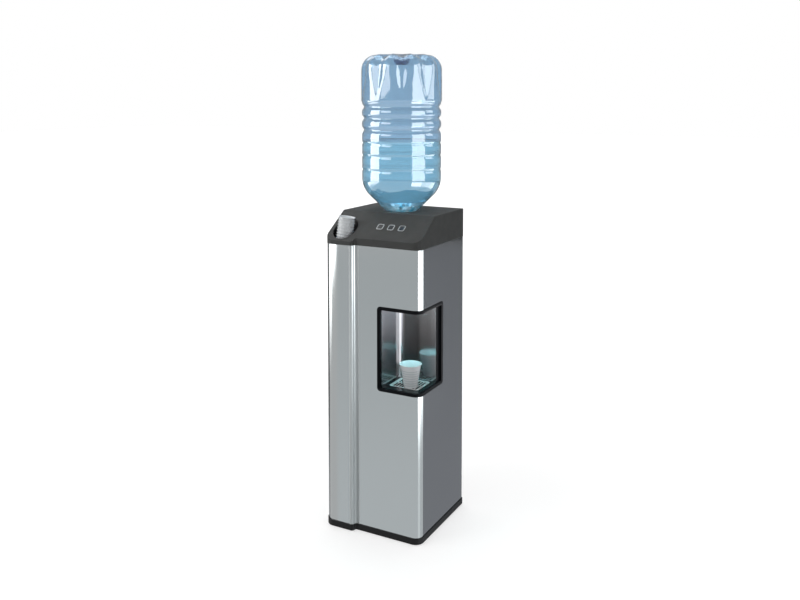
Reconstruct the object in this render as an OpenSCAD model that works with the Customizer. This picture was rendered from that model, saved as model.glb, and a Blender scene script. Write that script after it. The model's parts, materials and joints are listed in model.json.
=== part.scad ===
// A floor-standing bottled-water dispenser with a cup column, a corner niche and three push buttons.
// Millimetres, +Z up, the floor at z = 0, the front towards -Y.

/* [Cabinet] */
// Width of the steel casing
body_w = 345; // [340:1:360]
// Depth of the casing from its main front to its back edge
body_d = 334.4; // [332:0.2:350]
// How far the cup column stands in front of the main front
column_out = 16; // [14:0.5:18]
// Width of the cup column
column_w = 107.5; // [105:0.5:112]
// Radius of the casing's front right corner
corner_r = 26; // [20:1:30]
// Radius of the cup column's left corner
column_r = 30; // [22:1:34]
// Radius of the two back corners
back_r = 5; // [4:0.5:8]
// Largest radius of the two bends where the column steps out
step_r = 8; // [6:0.5:9]
// Height of the casing's top edge above the floor
casing_top = 954; // [948:1:975]
// Thickness of the casing's sheet steel
sheet = 1; // [0.8:0.1:1.4]
// Depth of the open bay behind the back panel
bay_d = 34; // [32:1:38]

/* [Base] */
// Height of the black base's top edge above the floor
base_top = 22.4; // [20:0.2:26]
// How far the base stands out round the casing
base_out = 2.5; // [1.5:0.5:4]
// Thickness of the base's floor and of its wall behind the casing
base_wall = 3; // [2.5:0.5:4]
// Height of the rubber feet below the base
foot_h = 3; // [2:0.5:5]
// Diameter of a rubber foot
foot_d = 30; // [24:1:36]

/* [Top cover] */
// Height of the cover from the casing's top edge to its flat top
cover_h = 96.5; // [94:0.5:100]
// Height of the cover's upright lip above the main front
lip_h = 24; // [22:1:27]
// Angle of the cover's sloping front
slope_deg = 33.6; // [32:0.2:35]
// How far the cover stands out round the casing
cover_out = 1; // [0.5:0.1:1.2]
// Wall of the cover
cover_wall = 3; // [2.5:0.1:3.4]

/* [Buttons] */
// Width of a button's light ring
button_w = 22; // [20:0.5:24]
// Length of a button's light ring up the slope
button_l = 25; // [22:0.5:27]
// Distance between neighbouring buttons
button_pitch = 39.5; // [36:0.5:41]
// Place of the middle button from the cabinet's middle
button_x = 42.2; // [38:0.2:46]
// Place of the buttons up the slope from the lip
button_up = 62; // [58:0.5:65]
// Width of the light ring round a button
ring_w = 2; // [1.5:0.1:2.5]
// Travel of a button
button_travel = 1.5; // [1:0.1:2]

/* [Niche] */
// Place of the niche bezel's left edge from the cabinet's middle
niche_x = 19.5; // [17:0.5:24]
// Height of the niche bezel's lower edge above the floor
niche_z = 485; // [478:1:490]
// Height of the niche bezel
niche_h = 277; // [274:1:284]
// Length of the niche bezel along the right side from the main front
niche_side = 170.2; // [168:0.2:176]
// Width of the bezel's face
bezel_w = 11; // [10:0.5:12]
// Depth of the bezel behind the casing's face
bezel_d = 9; // [8:0.5:10]
// How far the bezel stands proud of the casing
bezel_out = 1.4; // [1:0.1:2]
// Outer corner radius of the bezel
bezel_r = 11; // [9:0.5:13]
// Depth of the niche from the main front to its back wall
niche_d = 137.2; // [135:0.2:140]
// Radius of the polished liner's bent corner
liner_r = 20; // [16:1:24]
// Thickness of the polished liner
liner_t = 1; // [0.8:0.1:1.2]

/* [Drip tray] */
// Height of the drip tray
tray_h = 28; // [26:0.5:32]
// Wall of the drip tray
tray_wall = 2; // [1.6:0.1:2.4]
// Width of the steel grille
grille_w = 107; // [104:0.5:109]
// Depth of the steel grille
grille_d = 94; // [90:0.5:97]
// Thickness of the steel grille
grille_t = 2.5; // [2:0.1:3]
// Width of a slot in the grille
slot_w = 7; // [6:0.2:7.4]
// Distance between neighbouring slots
slot_pitch = 10; // [9:0.5:12]

/* [Cups] */
// Outer diameter of the rim of a cup in the column
cup_d = 56; // [56:0.5:60]
// Diameter of its foot
cup_foot_d = 36; // [34:0.5:37]
// Its height
cup_h = 75; // [72:0.5:78]
// Height of the smooth band below a cup's rim
cup_band = 17; // [14:0.5:20]
// Wall of a cup
cup_wall = 0.6; // [0.5:0.05:0.65]
// Height that each nested cup adds to the stack
cup_nest = 9; // [8.6:0.1:10]
// Number of cups in the stack below the top one
cup_count = 9; // [6:1:12]
// How far the stack leans to one side in its loose tube
cup_lean = 7.5; // [0:0.5:8]
// Outer diameter of the rim of the larger cup in the niche
big_cup_d = 72; // [68:0.5:74]
// Diameter of its foot
big_foot_d = 45; // [43:0.5:48]
// Its height
big_cup_h = 76; // [73:0.5:79]
// Height of the top cup's rim above the casing's top edge
cup_rise = 89; // [86:0.5:92]
// Diameter of the cup hole and of the tube below it
cup_hole_d = 83; // [80:0.5:86]
// Distance of the cup hole's axis behind the column's front
cup_back = 49.2; // [47:0.2:52]
// How far the cup stack can be pushed down
cup_travel = 50; // [30:1:60]

/* [Bottle] */
// Largest diameter of the bottle
bottle_d = 273; // [268:1:276]
// Height of the bottle above the cover's flat top
bottle_h = 527.5; // [522:0.5:535]
// Outer diameter of the bottle's neck
neck_d = 55; // [53:0.5:57]
// Wall of the bottle
bottle_wall = 1.5; // [1.2:0.1:2]
// Distance of the bottle's axis behind the middle of the cabinet
bottle_y = 44; // [42:0.5:46]
// Radius of the bottle's cone where it passes the cover's flat top
seat_r = 57; // [55:0.5:58]

/* [Water system] */
// Height of the cold tank
cold_h = 145; // [138:1:148]
// Clearance between the cold tank's foam and the back panel
foam_gap = 1.2; // [0.9:0.1:3]
// Thickness of that foam
foam_t = 21; // [20.5:0.5:23]
// Outer diameter of the hot tank
hot_d = 116; // [110:1:120]
// Height of the hot tank
hot_h = 150; // [140:1:156]
// Thickness of the hot tank's foam
hot_foam = 14; // [10:1:16]
// Outer diameter of a water hose
hose_d = 8; // [7:0.5:9]
// Outer diameter of the feed probe
probe_d = 18; // [16:0.5:19]

/* [Cooling] */
// Diameter of the compressor's shell
comp_d = 136; // [130:1:140]
// Height of the compressor's shell
comp_h = 138; // [130:1:145]
// Diameter of the condenser tube
cond_d = 5; // [4:0.5:6]
// Distance between the condenser's runs
cond_pitch = 45; // [40:1:46]
// Number of the condenser's runs
cond_runs = 13; // [11:2:13]
// Diameter of a condenser wire
wire_d = 1.6; // [1.2:0.1:2]
// Distance between neighbouring wires
wire_pitch = 15.6; // [14:0.2:18]
// Diameter of the evaporator tube
evap_d = 6.4; // [6:0.2:7]
// Number of the evaporator's turns
evap_turns = 8; // [6:1:9]

/* [Hidden] */

// Clearance between pieces that lie loosely in each other, and a close clearance between seated ones
gap = 0.5;
snug = 0.2;
// Length that reaches past everything in the model
far = 900;
// Small overshoot of a cut through a face
past = 1;

half_w = body_w / 2;
rear_y = (body_d + column_out) / 2;
front_y = rear_y - body_d;
column_y = front_y - column_out;
inner_half = half_w - sheet;
panel_back = rear_y - bay_d;
panel_front = panel_back - sheet;
foam_d = 2 * (panel_front - bottle_y - foam_gap);
cold_d = foam_d - 2 * foam_t;
floor_z = foot_h + base_wall;
cover_top = casing_top + cover_h;
lip_top = casing_top + lip_h;
cup_x = -half_w + column_w / 2;
cup_y = column_y + cup_back;
step_bend = min(step_r, column_out / 2);

// What lies outside a round corner of radius r at the origin of the +x, +y quarter
module corner_scrap(r) {
    if (r > 0) difference() {
        translate([-past, -past]) square(r + past);
        translate([r, r]) circle(r = r, $fn = 96);
    }
}

// The cabinet's outline seen from above, grown outwards by grow
module plan(grow) {
    left = -half_w - grow;
    right = half_w + grow;
    front = front_y - grow;
    nose = column_y - grow;
    back = rear_y + grow;
    step_x = -half_w + column_w + grow;
    hollow_r = step_bend - grow;
    difference() {
        union() {
            translate([left, front]) square([right - left, back - front]);
            translate([left, nose]) square([step_x - left, front - nose + past]);
            translate([step_x - past, front - hollow_r]) square([hollow_r + past, hollow_r + past]);
        }
        translate([step_x + hollow_r, front - hollow_r]) circle(r = hollow_r, $fn = 96);
        translate([right, front]) mirror([1, 0]) corner_scrap(corner_r + grow);
        translate([left, nose]) corner_scrap(column_r + grow);
        translate([step_x, nose]) mirror([1, 0]) corner_scrap(max(step_bend + grow, 0.5));
        translate([left, back]) mirror([0, 1]) corner_scrap(back_r + grow);
        translate([right, back]) rotate(180) corner_scrap(back_r + grow);
    }
}

// A rectangle with round corners, centred on the origin
module round_rect(w, h, r) {
    difference() {
        square([w, h], center = true);
        for (a = [0, 1], b = [0, 1])
            mirror([a, 0]) mirror([0, b]) translate([-w / 2, -h / 2]) corner_scrap(r);
    }
}

// Everything below the cover's sloping front, lowered by drop at right angles to the slope
module under_slope(drop) {
    on_slope(0, 0, -drop) translate([-far, -2 * far, -2 * far]) cube([2 * far, 4 * far, 2 * far]);
}

// Places children at x, up the slope and out from it
module on_slope(x, up, out) {
    translate([0, front_y, lip_top]) rotate([slope_deg, 0, 0]) translate([x, up, out]) children();
}

function unit(v) = v / norm(v);
function turn(p, i) = acos(unit(p[i] - p[i - 1]) * unit(p[i + 1] - p[i]));
// The points of the path with each corner rounded to the radius bend in steps of an arc
function arc_at(p, i, bend, steps) =
    let (a = unit(p[i] - p[i - 1]), b = unit(p[i + 1] - p[i]), n = unit(b - a * (a * b)),
        whole = turn(p, i), centre = p[i] - a * bend * tan(whole / 2) + n * bend)
    [for (k = [0:steps]) let (t = whole * k / steps) centre + bend * (a * sin(t) - n * cos(t))];
function rounded_path(p, bend, steps) =
    concat([p[0]], [for (i = [1:1:len(p) - 2]) each arc_at(p, i, bend, steps)], [p[len(p) - 1]]);
function path_dir(q, i) = unit(q[min(i + 1, len(q) - 1)] - q[max(i - 1, 0)]);
function square_to(t, v) = unit(v - t * (t * v));
function any_normal(t) = square_to(t, abs(t[2]) < 0.9 ? [0, 0, 1] : [1, 0, 0]);
// A normal for every point of a path, carried along it without a twist
function normals(q) =
    [for (i = 0, n = any_normal(path_dir(q, 0)); i < len(q);
        i = i + 1, n = i < len(q) ? square_to(path_dir(q, i), n) : n) n];

// Closes rings of points into one solid with flat ends
module ring_solid(rings) {
    sides = len(rings[0]);
    last = len(rings) - 1;
    polyhedron(points = [for (g = rings) each g],
        faces = concat([[for (k = [0:sides - 1]) k]], [[for (k = [0:sides - 1])
            last * sides + sides - 1 - k]],
            [for (i = [0:last - 1], k = [0:sides - 1])
                let (p = i * sides + k, q = i * sides + (k + 1) % sides)
                each [[p, q + sides, q], [p, p + sides, q + sides]]]));
}

// A tube through the points with its corners bent to the radius bend
module hose(points, r, bend, sides = 8) {
    q = rounded_path(points, bend, 4);
    n = normals(q);
    ring_solid([for (i = [0:len(q) - 1]) let (m = cross(path_dir(q, i), n[i]))
        [for (k = [0:sides - 1]) q[i] + r * (cos(k * 360 / sides) * n[i] + sin(k * 360 / sides) * m)]]);
}

// One unbroken tube wound round the z axis
wound_steps = 24;
module wound(coil_r, rise, turns, tube_r, sides) {
    ring_solid([for (i = [0:turns * wound_steps])
        let (a = i * 360 / wound_steps, out = [cos(a), sin(a), 0],
            up = unit(cross([-sin(a) * coil_r, cos(a) * coil_r, rise / (2 * PI)], out)))
        [for (k = [0:sides - 1]) [coil_r * cos(a), coil_r * sin(a), rise * i / wound_steps]
            + tube_r * (cos(k * 360 / sides) * out + sin(k * 360 / sides) * up)]]);
    echo(least_gap_between_turns = rise - 2 * tube_r);
}

// Base: a black tray with a rim that the casing stands on
foot_inset = 45;
foot_stem_r = 4;
foot_spots = [for (x = [-1, 1], y = [column_y + foot_inset + 8,
    rear_y - foot_inset]) [x * (half_w - foot_inset), y]];
module base_plinth() {
    color("#1d1f20") difference() {
        translate([0, 0, foot_h]) linear_extrude(base_top - foot_h) plan(base_out);
        translate([0, 0, floor_z]) linear_extrude(base_top) plan(-sheet - base_wall);
        for (p = foot_spots) translate([p[0], p[1], 0])
            cylinder(r = foot_stem_r + snug, h = far / 9, $fn = 32);
    }
}

module rubber_feet() {
    color("#262626") for (p = foot_spots) translate([p[0], p[1], 0]) {
        cylinder(d = foot_d, h = foot_h, $fn = 48);
        cylinder(r = foot_stem_r, h = floor_z + past, $fn = 32);
    }
}

// Niche outlines. The bezel's outline is the same round-cornered window seen from the front and the side
niche_top = niche_z + niche_h;
side_end = front_y + niche_side;
niche_back = front_y + niche_d;
niche_left = niche_x + bezel_w + gap;
niche_right = half_w - bezel_d;
sill_h = bezel_w - 1;
ceiling_z = niche_top - bezel_w + 2;

// A window through the front and round the right side, inset from the bezel's outline
module corner_window(inset, sill, r) {
    low = niche_z + sill;
    tall = niche_h - inset - sill;
    intersection() {
        translate([niche_x + inset + far / 2, 0, low + tall / 2]) rotate([90, 0, 0])
            linear_extrude(2 * far, center = true) round_rect(far, tall, r);
        translate([0, side_end - inset - far / 2, low + tall / 2]) rotate([90, 0, 90])
            linear_extrude(2 * far, center = true) round_rect(far, tall, r);
    }
}

// Inside of the niche's left and back walls seen from above, grown by grow
module walls_plan(grow) {
    difference() {
        translate([niche_left - grow, -far]) square([far, far + niche_back + grow]);
        translate([niche_left - grow, niche_back + grow]) mirror([0, 1]) corner_scrap(liner_r + grow);
    }
}

// The same, ending edge away from the back of the bezel
module niche_plan(grow, edge) {
    intersection() {
        plan(edge - bezel_d);
        walls_plan(grow);
    }
}

// Casing: one bent steel sheet, left side, column, front and right side, open at the back
flange_in = 4;
return_w = 10;
module casing_wrap() {
    return_x = half_w - back_r - return_w;
    color("#a3a7aa") difference() {
        translate([0, 0, base_top]) linear_extrude(casing_top - base_top) difference() {
            plan(0);
            plan(-sheet);
            translate([-return_x, panel_back]) square([2 * return_x, far]);
        }
        corner_window(flange_in, flange_in, bezel_r - flange_in);
    }
}

jamb_t = 2;
module niche_bezel() {
    lining = flange_in + snug;
    jamb_end = side_end - bezel_w;
    color("#17191a") {
        difference() {
            union() {
                intersection() {
                    linear_extrude(far) difference() {
                        plan(bezel_out);
                        plan(0);
                    }
                    corner_window(0, 0, bezel_r);
                }
                intersection() {
                    linear_extrude(far) difference() {
                        plan(past / 2);
                        plan(-bezel_d);
                    }
                    corner_window(lining, lining, bezel_r - lining);
                }
            }
            corner_window(bezel_w, sill_h, bezel_r / 2);
        }
        translate([niche_right, niche_back, niche_z + sill_h - past])
            cube([jamb_t, jamb_end - niche_back + past, niche_h - bezel_w - sill_h + 2 * past]);
    }
}

module niche_liner() {
    color("#c4c8ca") difference() {
        union() {
            translate([0, 0, tray_low]) linear_extrude(ceiling_z - tray_low) difference() {
                niche_plan(liner_t, -snug);
                walls_plan(0);
            }
            translate([0, 0, ceiling_z]) linear_extrude(liner_t) niche_plan(liner_t, -snug);
        }
        translate([cup_spot[0], cup_spot[1], 0]) cylinder(r = nozzle_stem_r + snug, h = far, $fn = 32);
    }
}

// Drip tray, its support and its steel grille
cup_spot = [niche_x + 87.5, front_y + 66.2];
tray_top = niche_z + sill_h - 1;
tray_low = tray_top - tray_h;
support_t = 1.5;
support_out = 9;
rim_t = 5;
grille_r = 9;
grille_edge = 3;
grille_sunk = 0.8;
grille_seat = 4;
grille_mid = [niche_left + 8.5 + grille_w / 2, niche_back - 4 - grille_d / 2];
module tray_support() {
    color("#8a8d8f") translate([0, 0, tray_low - support_t]) linear_extrude(support_t) intersection() {
        plan(-sheet - snug);
        translate([niche_left - support_out, -far]) square([far, far + niche_back + support_out]);
    }
}

module grille_plan(grow) {
    translate(grille_mid) round_rect(grille_w + 2 * grow, grille_d + 2 * grow, grille_r + grow);
}

module drip_tray() {
    color("#1b1e20") difference() {
        translate([0, 0, tray_low]) linear_extrude(tray_h) niche_plan(-gap, -gap);
        translate([0, 0, tray_top - grille_t]) linear_extrude(far) grille_plan(gap / 2);
        translate([0, 0, tray_low + tray_wall]) linear_extrude(tray_h) grille_plan(-grille_seat);
        translate([0, 0, tray_low + tray_wall]) linear_extrude(tray_h - tray_wall - rim_t)
            niche_plan(-gap - tray_wall, -gap - tray_wall);
    }
}

slot_l = (grille_d - 2 * grille_edge - 14) / 2;
slot_count = floor((grille_w - 2 * grille_edge - 8 - slot_w) / slot_pitch) + 1;
module drip_grille() {
    color("#b8bcbe") difference() {
        translate([0, 0, tray_top - grille_t]) linear_extrude(grille_t) grille_plan(0);
        translate([0, 0, tray_top - grille_sunk]) linear_extrude(far) grille_plan(-grille_edge);
        translate([grille_mid[0], grille_mid[1], tray_top - grille_t - past])
            for (i = [0:slot_count - 1], s = [-1, 1])
                translate([(i - (slot_count - 1) / 2) * slot_pitch - slot_w / 2,
                    s * (slot_l / 2 + 2) - slot_l / 2, 0])
                    cube([slot_w, slot_l, far]);
    }
}

// A ribbed drinking cup with its foot at z = 0
rib = 0.3;
rib_step = cup_nest / 2;
rim_r = 1.2;
module cup(d, foot, h) {
    function wall_r(z) = foot / 2 + (d / 2 - 2 * rim_r + cup_wall - foot / 2) * z / h;
    ribs = floor((h - cup_band) / rib_step);
    rotate_extrude($fn = 64) union() {
        polygon(concat([[0, 0]],
            [for (i = [0:ribs]) [wall_r(i * rib_step) + (i % 2) * rib, i * rib_step]],
            [[wall_r(h), h], [wall_r(h) - cup_wall, h]],
            [for (i = [ribs:-1:1]) [wall_r(i * rib_step) + (i % 2) * rib - cup_wall, i * rib_step]],
            [[wall_r(0) - cup_wall, cup_wall], [0, cup_wall]]));
        translate([d / 2 - rim_r, h - rim_r]) circle(r = rim_r, $fn = 24);
    }
}

module loose_cup() {
    color("#e6eff0") translate([cup_spot[0], cup_spot[1], tray_top - grille_sunk])
        cup(big_cup_d, big_foot_d, big_cup_h);
}

// Nozzle, lamp, manifold and valves above the niche
nozzle_low = ceiling_z - 15;
nozzle_r = 7;
nozzle_stem_r = 6;
nozzle_bore_r = 3.5;
flange_r = 16;
flange_t = 4;
manifold_z = ceiling_z + 35;
manifold = [94, 24, 20];
leg_w = 6;
valve_pitch = 32;
valve_body = [26, 30, 24];
valve_coil_r = 13;
valve_coil_h = 36;
stub_l = 8;
valve_z = manifold_z + manifold[2];
inlet_y = cup_spot[1] + valve_body[1] / 2 + stub_l;
inlet_z = valve_z + valve_body[2] / 2;
hose_r = hose_d / 2;
module nozzle() {
    color("#d8dadb") translate([cup_spot[0], cup_spot[1], 0]) difference() {
        union() {
            translate([0, 0, nozzle_low]) cylinder(r = nozzle_r, h = ceiling_z - nozzle_low, $fn = 48);
            translate([0, 0, ceiling_z - flange_t]) cylinder(r = flange_r, h = flange_t, $fn = 48);
            translate([0, 0, ceiling_z - past])
                cylinder(r = nozzle_stem_r, h = manifold_z - ceiling_z + past, $fn = 48);
        }
        translate([0, 0, nozzle_low - past]) cylinder(r = nozzle_bore_r, h = far, $fn = 32);
    }
}

lamp_left = 40;
lamp_end_gap = 16.5;
lamp = [niche_right - lamp_end_gap - cup_spot[0] + lamp_left, 10, 5];
module niche_lamp() {
    color("#bfeef0") translate([cup_spot[0] - lamp_left, front_y + bezel_d + 2,
        ceiling_z - lamp[2]]) cube(lamp);
}

module outlet_manifold() {
    color("#4a4e50") translate([cup_spot[0], cup_spot[1], 0]) difference() {
        union() {
            translate([-manifold[0] / 2, -manifold[1] / 2, manifold_z]) cube(manifold);
            for (s = [-1, 1]) translate([s * (manifold[0] - leg_w) / 2 - leg_w / 2,
                -manifold[1] / 2, ceiling_z + liner_t])
                cube([leg_w, manifold[1], manifold_z - ceiling_z - liner_t + past]);
        }
        translate([0, 0, manifold_z - past])
            cylinder(r = nozzle_bore_r, h = manifold[2] / 2 + past, $fn = 32);
    }
}

module solenoid_valves() {
    color("#5b6266") for (i = [-1:1]) translate([cup_spot[0] + i * valve_pitch, cup_spot[1], valve_z]) {
        translate([-valve_body[0] / 2, -valve_body[1] / 2, 0]) cube(valve_body);
        translate([0, 0, valve_body[2] - past])
            cylinder(r = valve_coil_r, h = valve_coil_h + past, $fn = 48);
        translate([0, valve_body[1] / 2 - past, valve_body[2] / 2]) rotate([-90, 0, 0])
            cylinder(r = hose_r, h = stub_l + past, $fn = 32);
    }
}

// Top cover with its sloping front, cup hole, bottle hole and button holes
bottle_hole_r = seat_r + 7;
button_r = 5;
button_spots = [for (i = [-1:1]) button_x + i * button_pitch];
module button_shape(grow) {
    round_rect(button_w + 2 * grow, button_l + 2 * grow, button_r + grow);
}

module top_cover() {
    color("#3b3e40") difference() {
        intersection() {
            translate([0, 0, casing_top]) linear_extrude(cover_h) plan(cover_out);
            under_slope(0);
        }
        intersection() {
            translate([0, 0, casing_top - past]) linear_extrude(cover_h - cover_wall + past)
                plan(cover_out - cover_wall);
            under_slope(cover_wall);
        }
        translate([cup_x, cup_y, casing_top]) cylinder(d = cup_hole_d, h = far, $fn = 96);
        translate([0, bottle_y, casing_top]) cylinder(r = bottle_hole_r, h = far, $fn = 96);
        for (x = button_spots) on_slope(x, button_up, -cover_wall - past)
            linear_extrude(far / 9) button_shape(snug);
    }
}

// Buttons: a fixed light ring in the cover, a cap that moves in it, its carrier and the circuit board
ring_proud = 0.3;
cap_t = 1.5;
stem_r = 4;
stem_end = 7.5;
carrier_t = 3;
carrier = [2 * button_pitch + 48, 46];
board_t = 1.6;
board_drop = 14;
post_r = 2.5;
module light_rings() {
    color("#d5dadc") for (x = button_spots) on_slope(x, button_up, -cover_wall)
        linear_extrude(cover_wall + ring_proud) difference() {
            button_shape(0);
            button_shape(-ring_w);
        }
}

module button(i) {
    color("#2a2d2f") on_slope(button_spots[i], button_up, 0) {
        translate([0, 0, ring_proud - cap_t]) linear_extrude(cap_t) button_shape(-ring_w - snug);
        translate([0, 0, -stem_end]) cylinder(r = stem_r, h = stem_end, $fn = 32);
    }
}
module button_left() { button(0); }
module button_middle() { button(1); }
module button_right() { button(2); }

module button_carrier() {
    color("#6a6e70") on_slope(button_x, button_up, 0) difference() {
        union() {
            translate([-carrier[0] / 2, -carrier[1] / 2, -cover_wall - carrier_t])
                cube([carrier[0], carrier[1], carrier_t]);
            for (a = [-1, 1], b = [-1, 1])
                translate([a * (carrier[0] / 2 - 5), b * (carrier[1] / 2 - 5), -board_drop])
                cylinder(r = post_r, h = board_drop - cover_wall, $fn = 32);
        }
        for (i = [-1:1]) translate([i * button_pitch, 0, -far / 9])
            cylinder(r = stem_r + snug, h = far / 9, $fn = 32);
    }
}

key_w = 6;
module control_board() {
    key_h = board_drop - stem_end - button_travel - snug;
    color("#2f6b4a") on_slope(button_x, button_up, 0) {
        translate([-carrier[0] / 2, -carrier[1] / 2, -board_drop - board_t])
            cube([carrier[0], carrier[1], board_t]);
        for (i = [-1:1]) translate([i * button_pitch - key_w / 2, -key_w / 2,
            -board_drop - board_t / 2])
            cube([key_w, key_w, key_h + board_t / 2]);
    }
}

// Bottle, its cap, the funnel that it sits in and the probe that opens it
neck_r = neck_d / 2;
seat_low = cover_top - (seat_r - neck_r);
mouth_z = cover_top - 68.5;
well_r = neck_r + 5.5;
well_floor = casing_top + 4;
funnel_wall = 3;
funnel_rim = 11;
probe_r = probe_d / 2;
probe_top = mouth_z + 23;
module at_bottle(z) { translate([0, bottle_y, z]) children(); }

module bottle_funnel() {
    hole = probe_r + snug / 2;
    cone_low = cover_top - (seat_r - well_r) - gap * 0.6;
    under = cover_top - cover_wall;
    color("#2b2e30") at_bottle(0) rotate_extrude($fn = 96) polygon([
        [hole, well_floor - funnel_wall], [well_r + funnel_wall, well_floor - funnel_wall],
        [well_r + funnel_wall, cone_low - funnel_wall / 2], [seat_r + funnel_wall, under - funnel_wall],
        [bottle_hole_r + funnel_rim, under - funnel_wall], [bottle_hole_r + funnel_rim, under],
        [bottle_hole_r - snug, under], [bottle_hole_r - snug, cover_top], [seat_r + gap * 0.6,
            cover_top],
        [well_r, cone_low], [well_r, well_floor], [hole, well_floor]]);
}

module feed_probe() {
    low = casing_top - 13;
    bore_r = probe_r - 2.5;
    tip = 6;
    color("#e3e6e7") at_bottle(0) difference() {
        rotate_extrude($fn = 48) polygon([[bore_r, low], [probe_r, low], [probe_r, probe_top - tip],
            [probe_r / 2, probe_top], [0, probe_top], [0, probe_top - tip], [bore_r, probe_top - tip]]);
        for (a = [0, 90]) translate([0, 0, probe_top - tip - 8]) rotate([90, 0, a])
            cylinder(r = 3, h = probe_d + 2 * past, center = true, $fn = 32);
    }
}

// Outer radius of the bottle's straight part at the height z, with its grooves
function dip(z, at, deep, half) = deep * exp(-pow((z - at) / half, 2));
groove_half = 8;
deep_grooves = [for (up = [274, 313, 351]) cover_top + up];
low_grooves = [for (up = [140, 188, 230]) cover_top + up];
function sum(v, i = 0) = i < len(v) ? v[i] + sum(v, i + 1) : 0;
function barrel_r(z) = bottle_d / 2 - (z < cover_top + 370 ? 2.2 : 0)
    - sum([for (g = deep_grooves) dip(z, g, 7, groove_half)])
    - sum([for (g = low_grooves) dip(z, g, 2.6, groove_half)]);
module bottle() {
    shoulder_r = 84;
    crown_r = 50;
    side_r = barrel_r(cover_top + 112);
    shoulder = [side_r - shoulder_r, cover_top - seat_r + side_r + shoulder_r * (sqrt(2) - 1)];
    crown = [bottle_d / 2 - crown_r, cover_top + bottle_h - crown_r];
    w = bottle_wall;
    barrel = [for (up = [116:4:388]) cover_top + up];
    flip = [for (i = [len(barrel) - 1:-1:0]) barrel[i]];
    color("#8fc4de", 0.5) at_bottle(0) rotate_extrude($fn = 96) polygon(concat(
        [[neck_r - w, mouth_z], [neck_r, mouth_z], [neck_r, seat_low]],
        [for (t = [-45:9:0]) shoulder + shoulder_r * [cos(t), sin(t)]],
        [for (z = barrel) [barrel_r(z), z]],
        [for (t = [0:10:90]) crown + crown_r * [cos(t), sin(t)]],
        [[0, crown[1] + crown_r], [0, crown[1] + crown_r - w]],
        [for (t = [90:-10:0]) crown + (crown_r - w) * [cos(t), sin(t)]],
        [for (z = flip) [barrel_r(z) - w, z]],
        [for (t = [0:-9:-45]) shoulder + (shoulder_r - w) * [cos(t), sin(t)]],
        [[neck_r - w, seat_low + w / 2]]));
}

module bottle_cap() {
    cap_plate = 3;
    cap_wall = 2;
    color("#3f7fb5") at_bottle(mouth_z - cap_plate) difference() {
        cylinder(r = neck_r + snug + cap_wall, h = 16, $fn = 64);
        translate([0, 0, cap_plate]) cylinder(r = neck_r + snug, h = far, $fn = 64);
        translate([0, 0, -past]) cylinder(r = probe_r + gap, h = far, $fn = 48);
    }
}

// Cup tube with its spring and lift plate, and the nested cups
shelf_t = 2;
lower_z = 510;
tube_wall = 1.5;
tube_floor = 2;
hole_r = cup_hole_d / 2;
lean_to = 28;
lean_shift = 4.6;
stack_h = cup_h + cup_count * cup_nest;
rim_z = casing_top + cup_rise - cup_d / 2 * sin(cup_lean);
plate_z = rim_z - stack_h * cos(cup_lean) - cup_foot_d / 2 * sin(cup_lean) - 0.1;
plate_t = 4;
skirt_h = 12;
spring_wire_r = 1.2;
spring_turns = 12;
module at_cups(z) { translate([cup_x, cup_y, z]) children(); }
// Places a cup in the leaning stack, down below the top one
module in_stack(down) {
    at_cups(rim_z) rotate(lean_to) translate([lean_shift, 0, 0]) rotate([0, cup_lean, 0])
        translate([0, 0, -cup_h - down]) cup(cup_d, cup_foot_d, cup_h);
}

module cup_tube() {
    color("#26292b") difference() {
        intersection() {
            at_cups(lower_z) cylinder(r = hole_r + tube_wall, h = far, $fn = 96);
            under_slope(cover_wall);
        }
        at_cups(lower_z + tube_floor) cylinder(r = hole_r, h = far, $fn = 96);
    }
}

module cup_lift_plate() {
    color("#55595b") at_cups(plate_z - skirt_h) difference() {
        cylinder(r = hole_r - gap, h = skirt_h, $fn = 96);
        translate([0, 0, -past])
            cylinder(r = hole_r - gap - tube_wall, h = skirt_h - plate_t + past, $fn = 96);
    }
}

module cup_spring() {
    low = lower_z + tube_floor + spring_wire_r + snug;
    high = plate_z - plate_t - spring_wire_r - snug;
    color("#9a9da0") at_cups(low)
        wound(hole_r - tube_wall - 8, (high - low) / spring_turns, spring_turns, spring_wire_r, 6);
}

module cup_stack() {
    color("#eef2f3") for (i = [1:cup_count]) in_stack(i * cup_nest);
}

module top_cup() {
    color("#eef2f3") in_stack(0);
}

// Turns children's z axis into dir and moves them to p
module along(p, dir) {
    translate(p) rotate([0, acos(dir[2] / norm(dir)), atan2(dir[1], dir[0])]) children();
}

// Cold tank, lid, foam and evaporator
tank_t = 1;
lid_t = 4;
cold_top = casing_top - 3;
cold_low = cold_top - cold_h;
foam_floor = 14;
shelf_top = cold_low - foam_floor;
stub_dir = [0.6, -0.8, 0];
stub_reach = foam_d / 2 + 5;
port = [-25, 26];
evap_r = ((cold_d + evap_d) / 2 + snug) / cos(180 / wound_steps);
evap_rise = 12;
evap_z = inlet_z + 12;
evap_top = evap_z + evap_turns * evap_rise;
lid_r = cold_d / 2 + 4;
port_in = 11.4;
port_heading = -41.35;
lid_port = [0, bottle_y] + (lid_r - port_in) * [cos(port_heading), sin(port_heading)];
module cold_tank() {
    color("#c0c4c6") at_bottle(0) difference() {
        union() {
            translate([0, 0, cold_low]) cylinder(d = cold_d, h = cold_h, $fn = 96);
            translate([port[0], port[1], shelf_top - shelf_t - 6])
                cylinder(r = hose_r, h = foam_floor + shelf_t + 8, $fn = 32);
            along([0, 0, inlet_z], stub_dir) cylinder(r = hose_r, h = stub_reach, $fn = 32);
        }
        translate([0, 0, cold_low + tank_t]) cylinder(r = cold_d / 2 - tank_t, h = far, $fn = 96);
        translate([port[0], port[1], 0]) cylinder(r = hose_r - 1, h = far * 2, $fn = 32);
        along([0, 0, inlet_z], stub_dir) cylinder(r = hose_r - 1, h = far, $fn = 32);
    }
}

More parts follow.
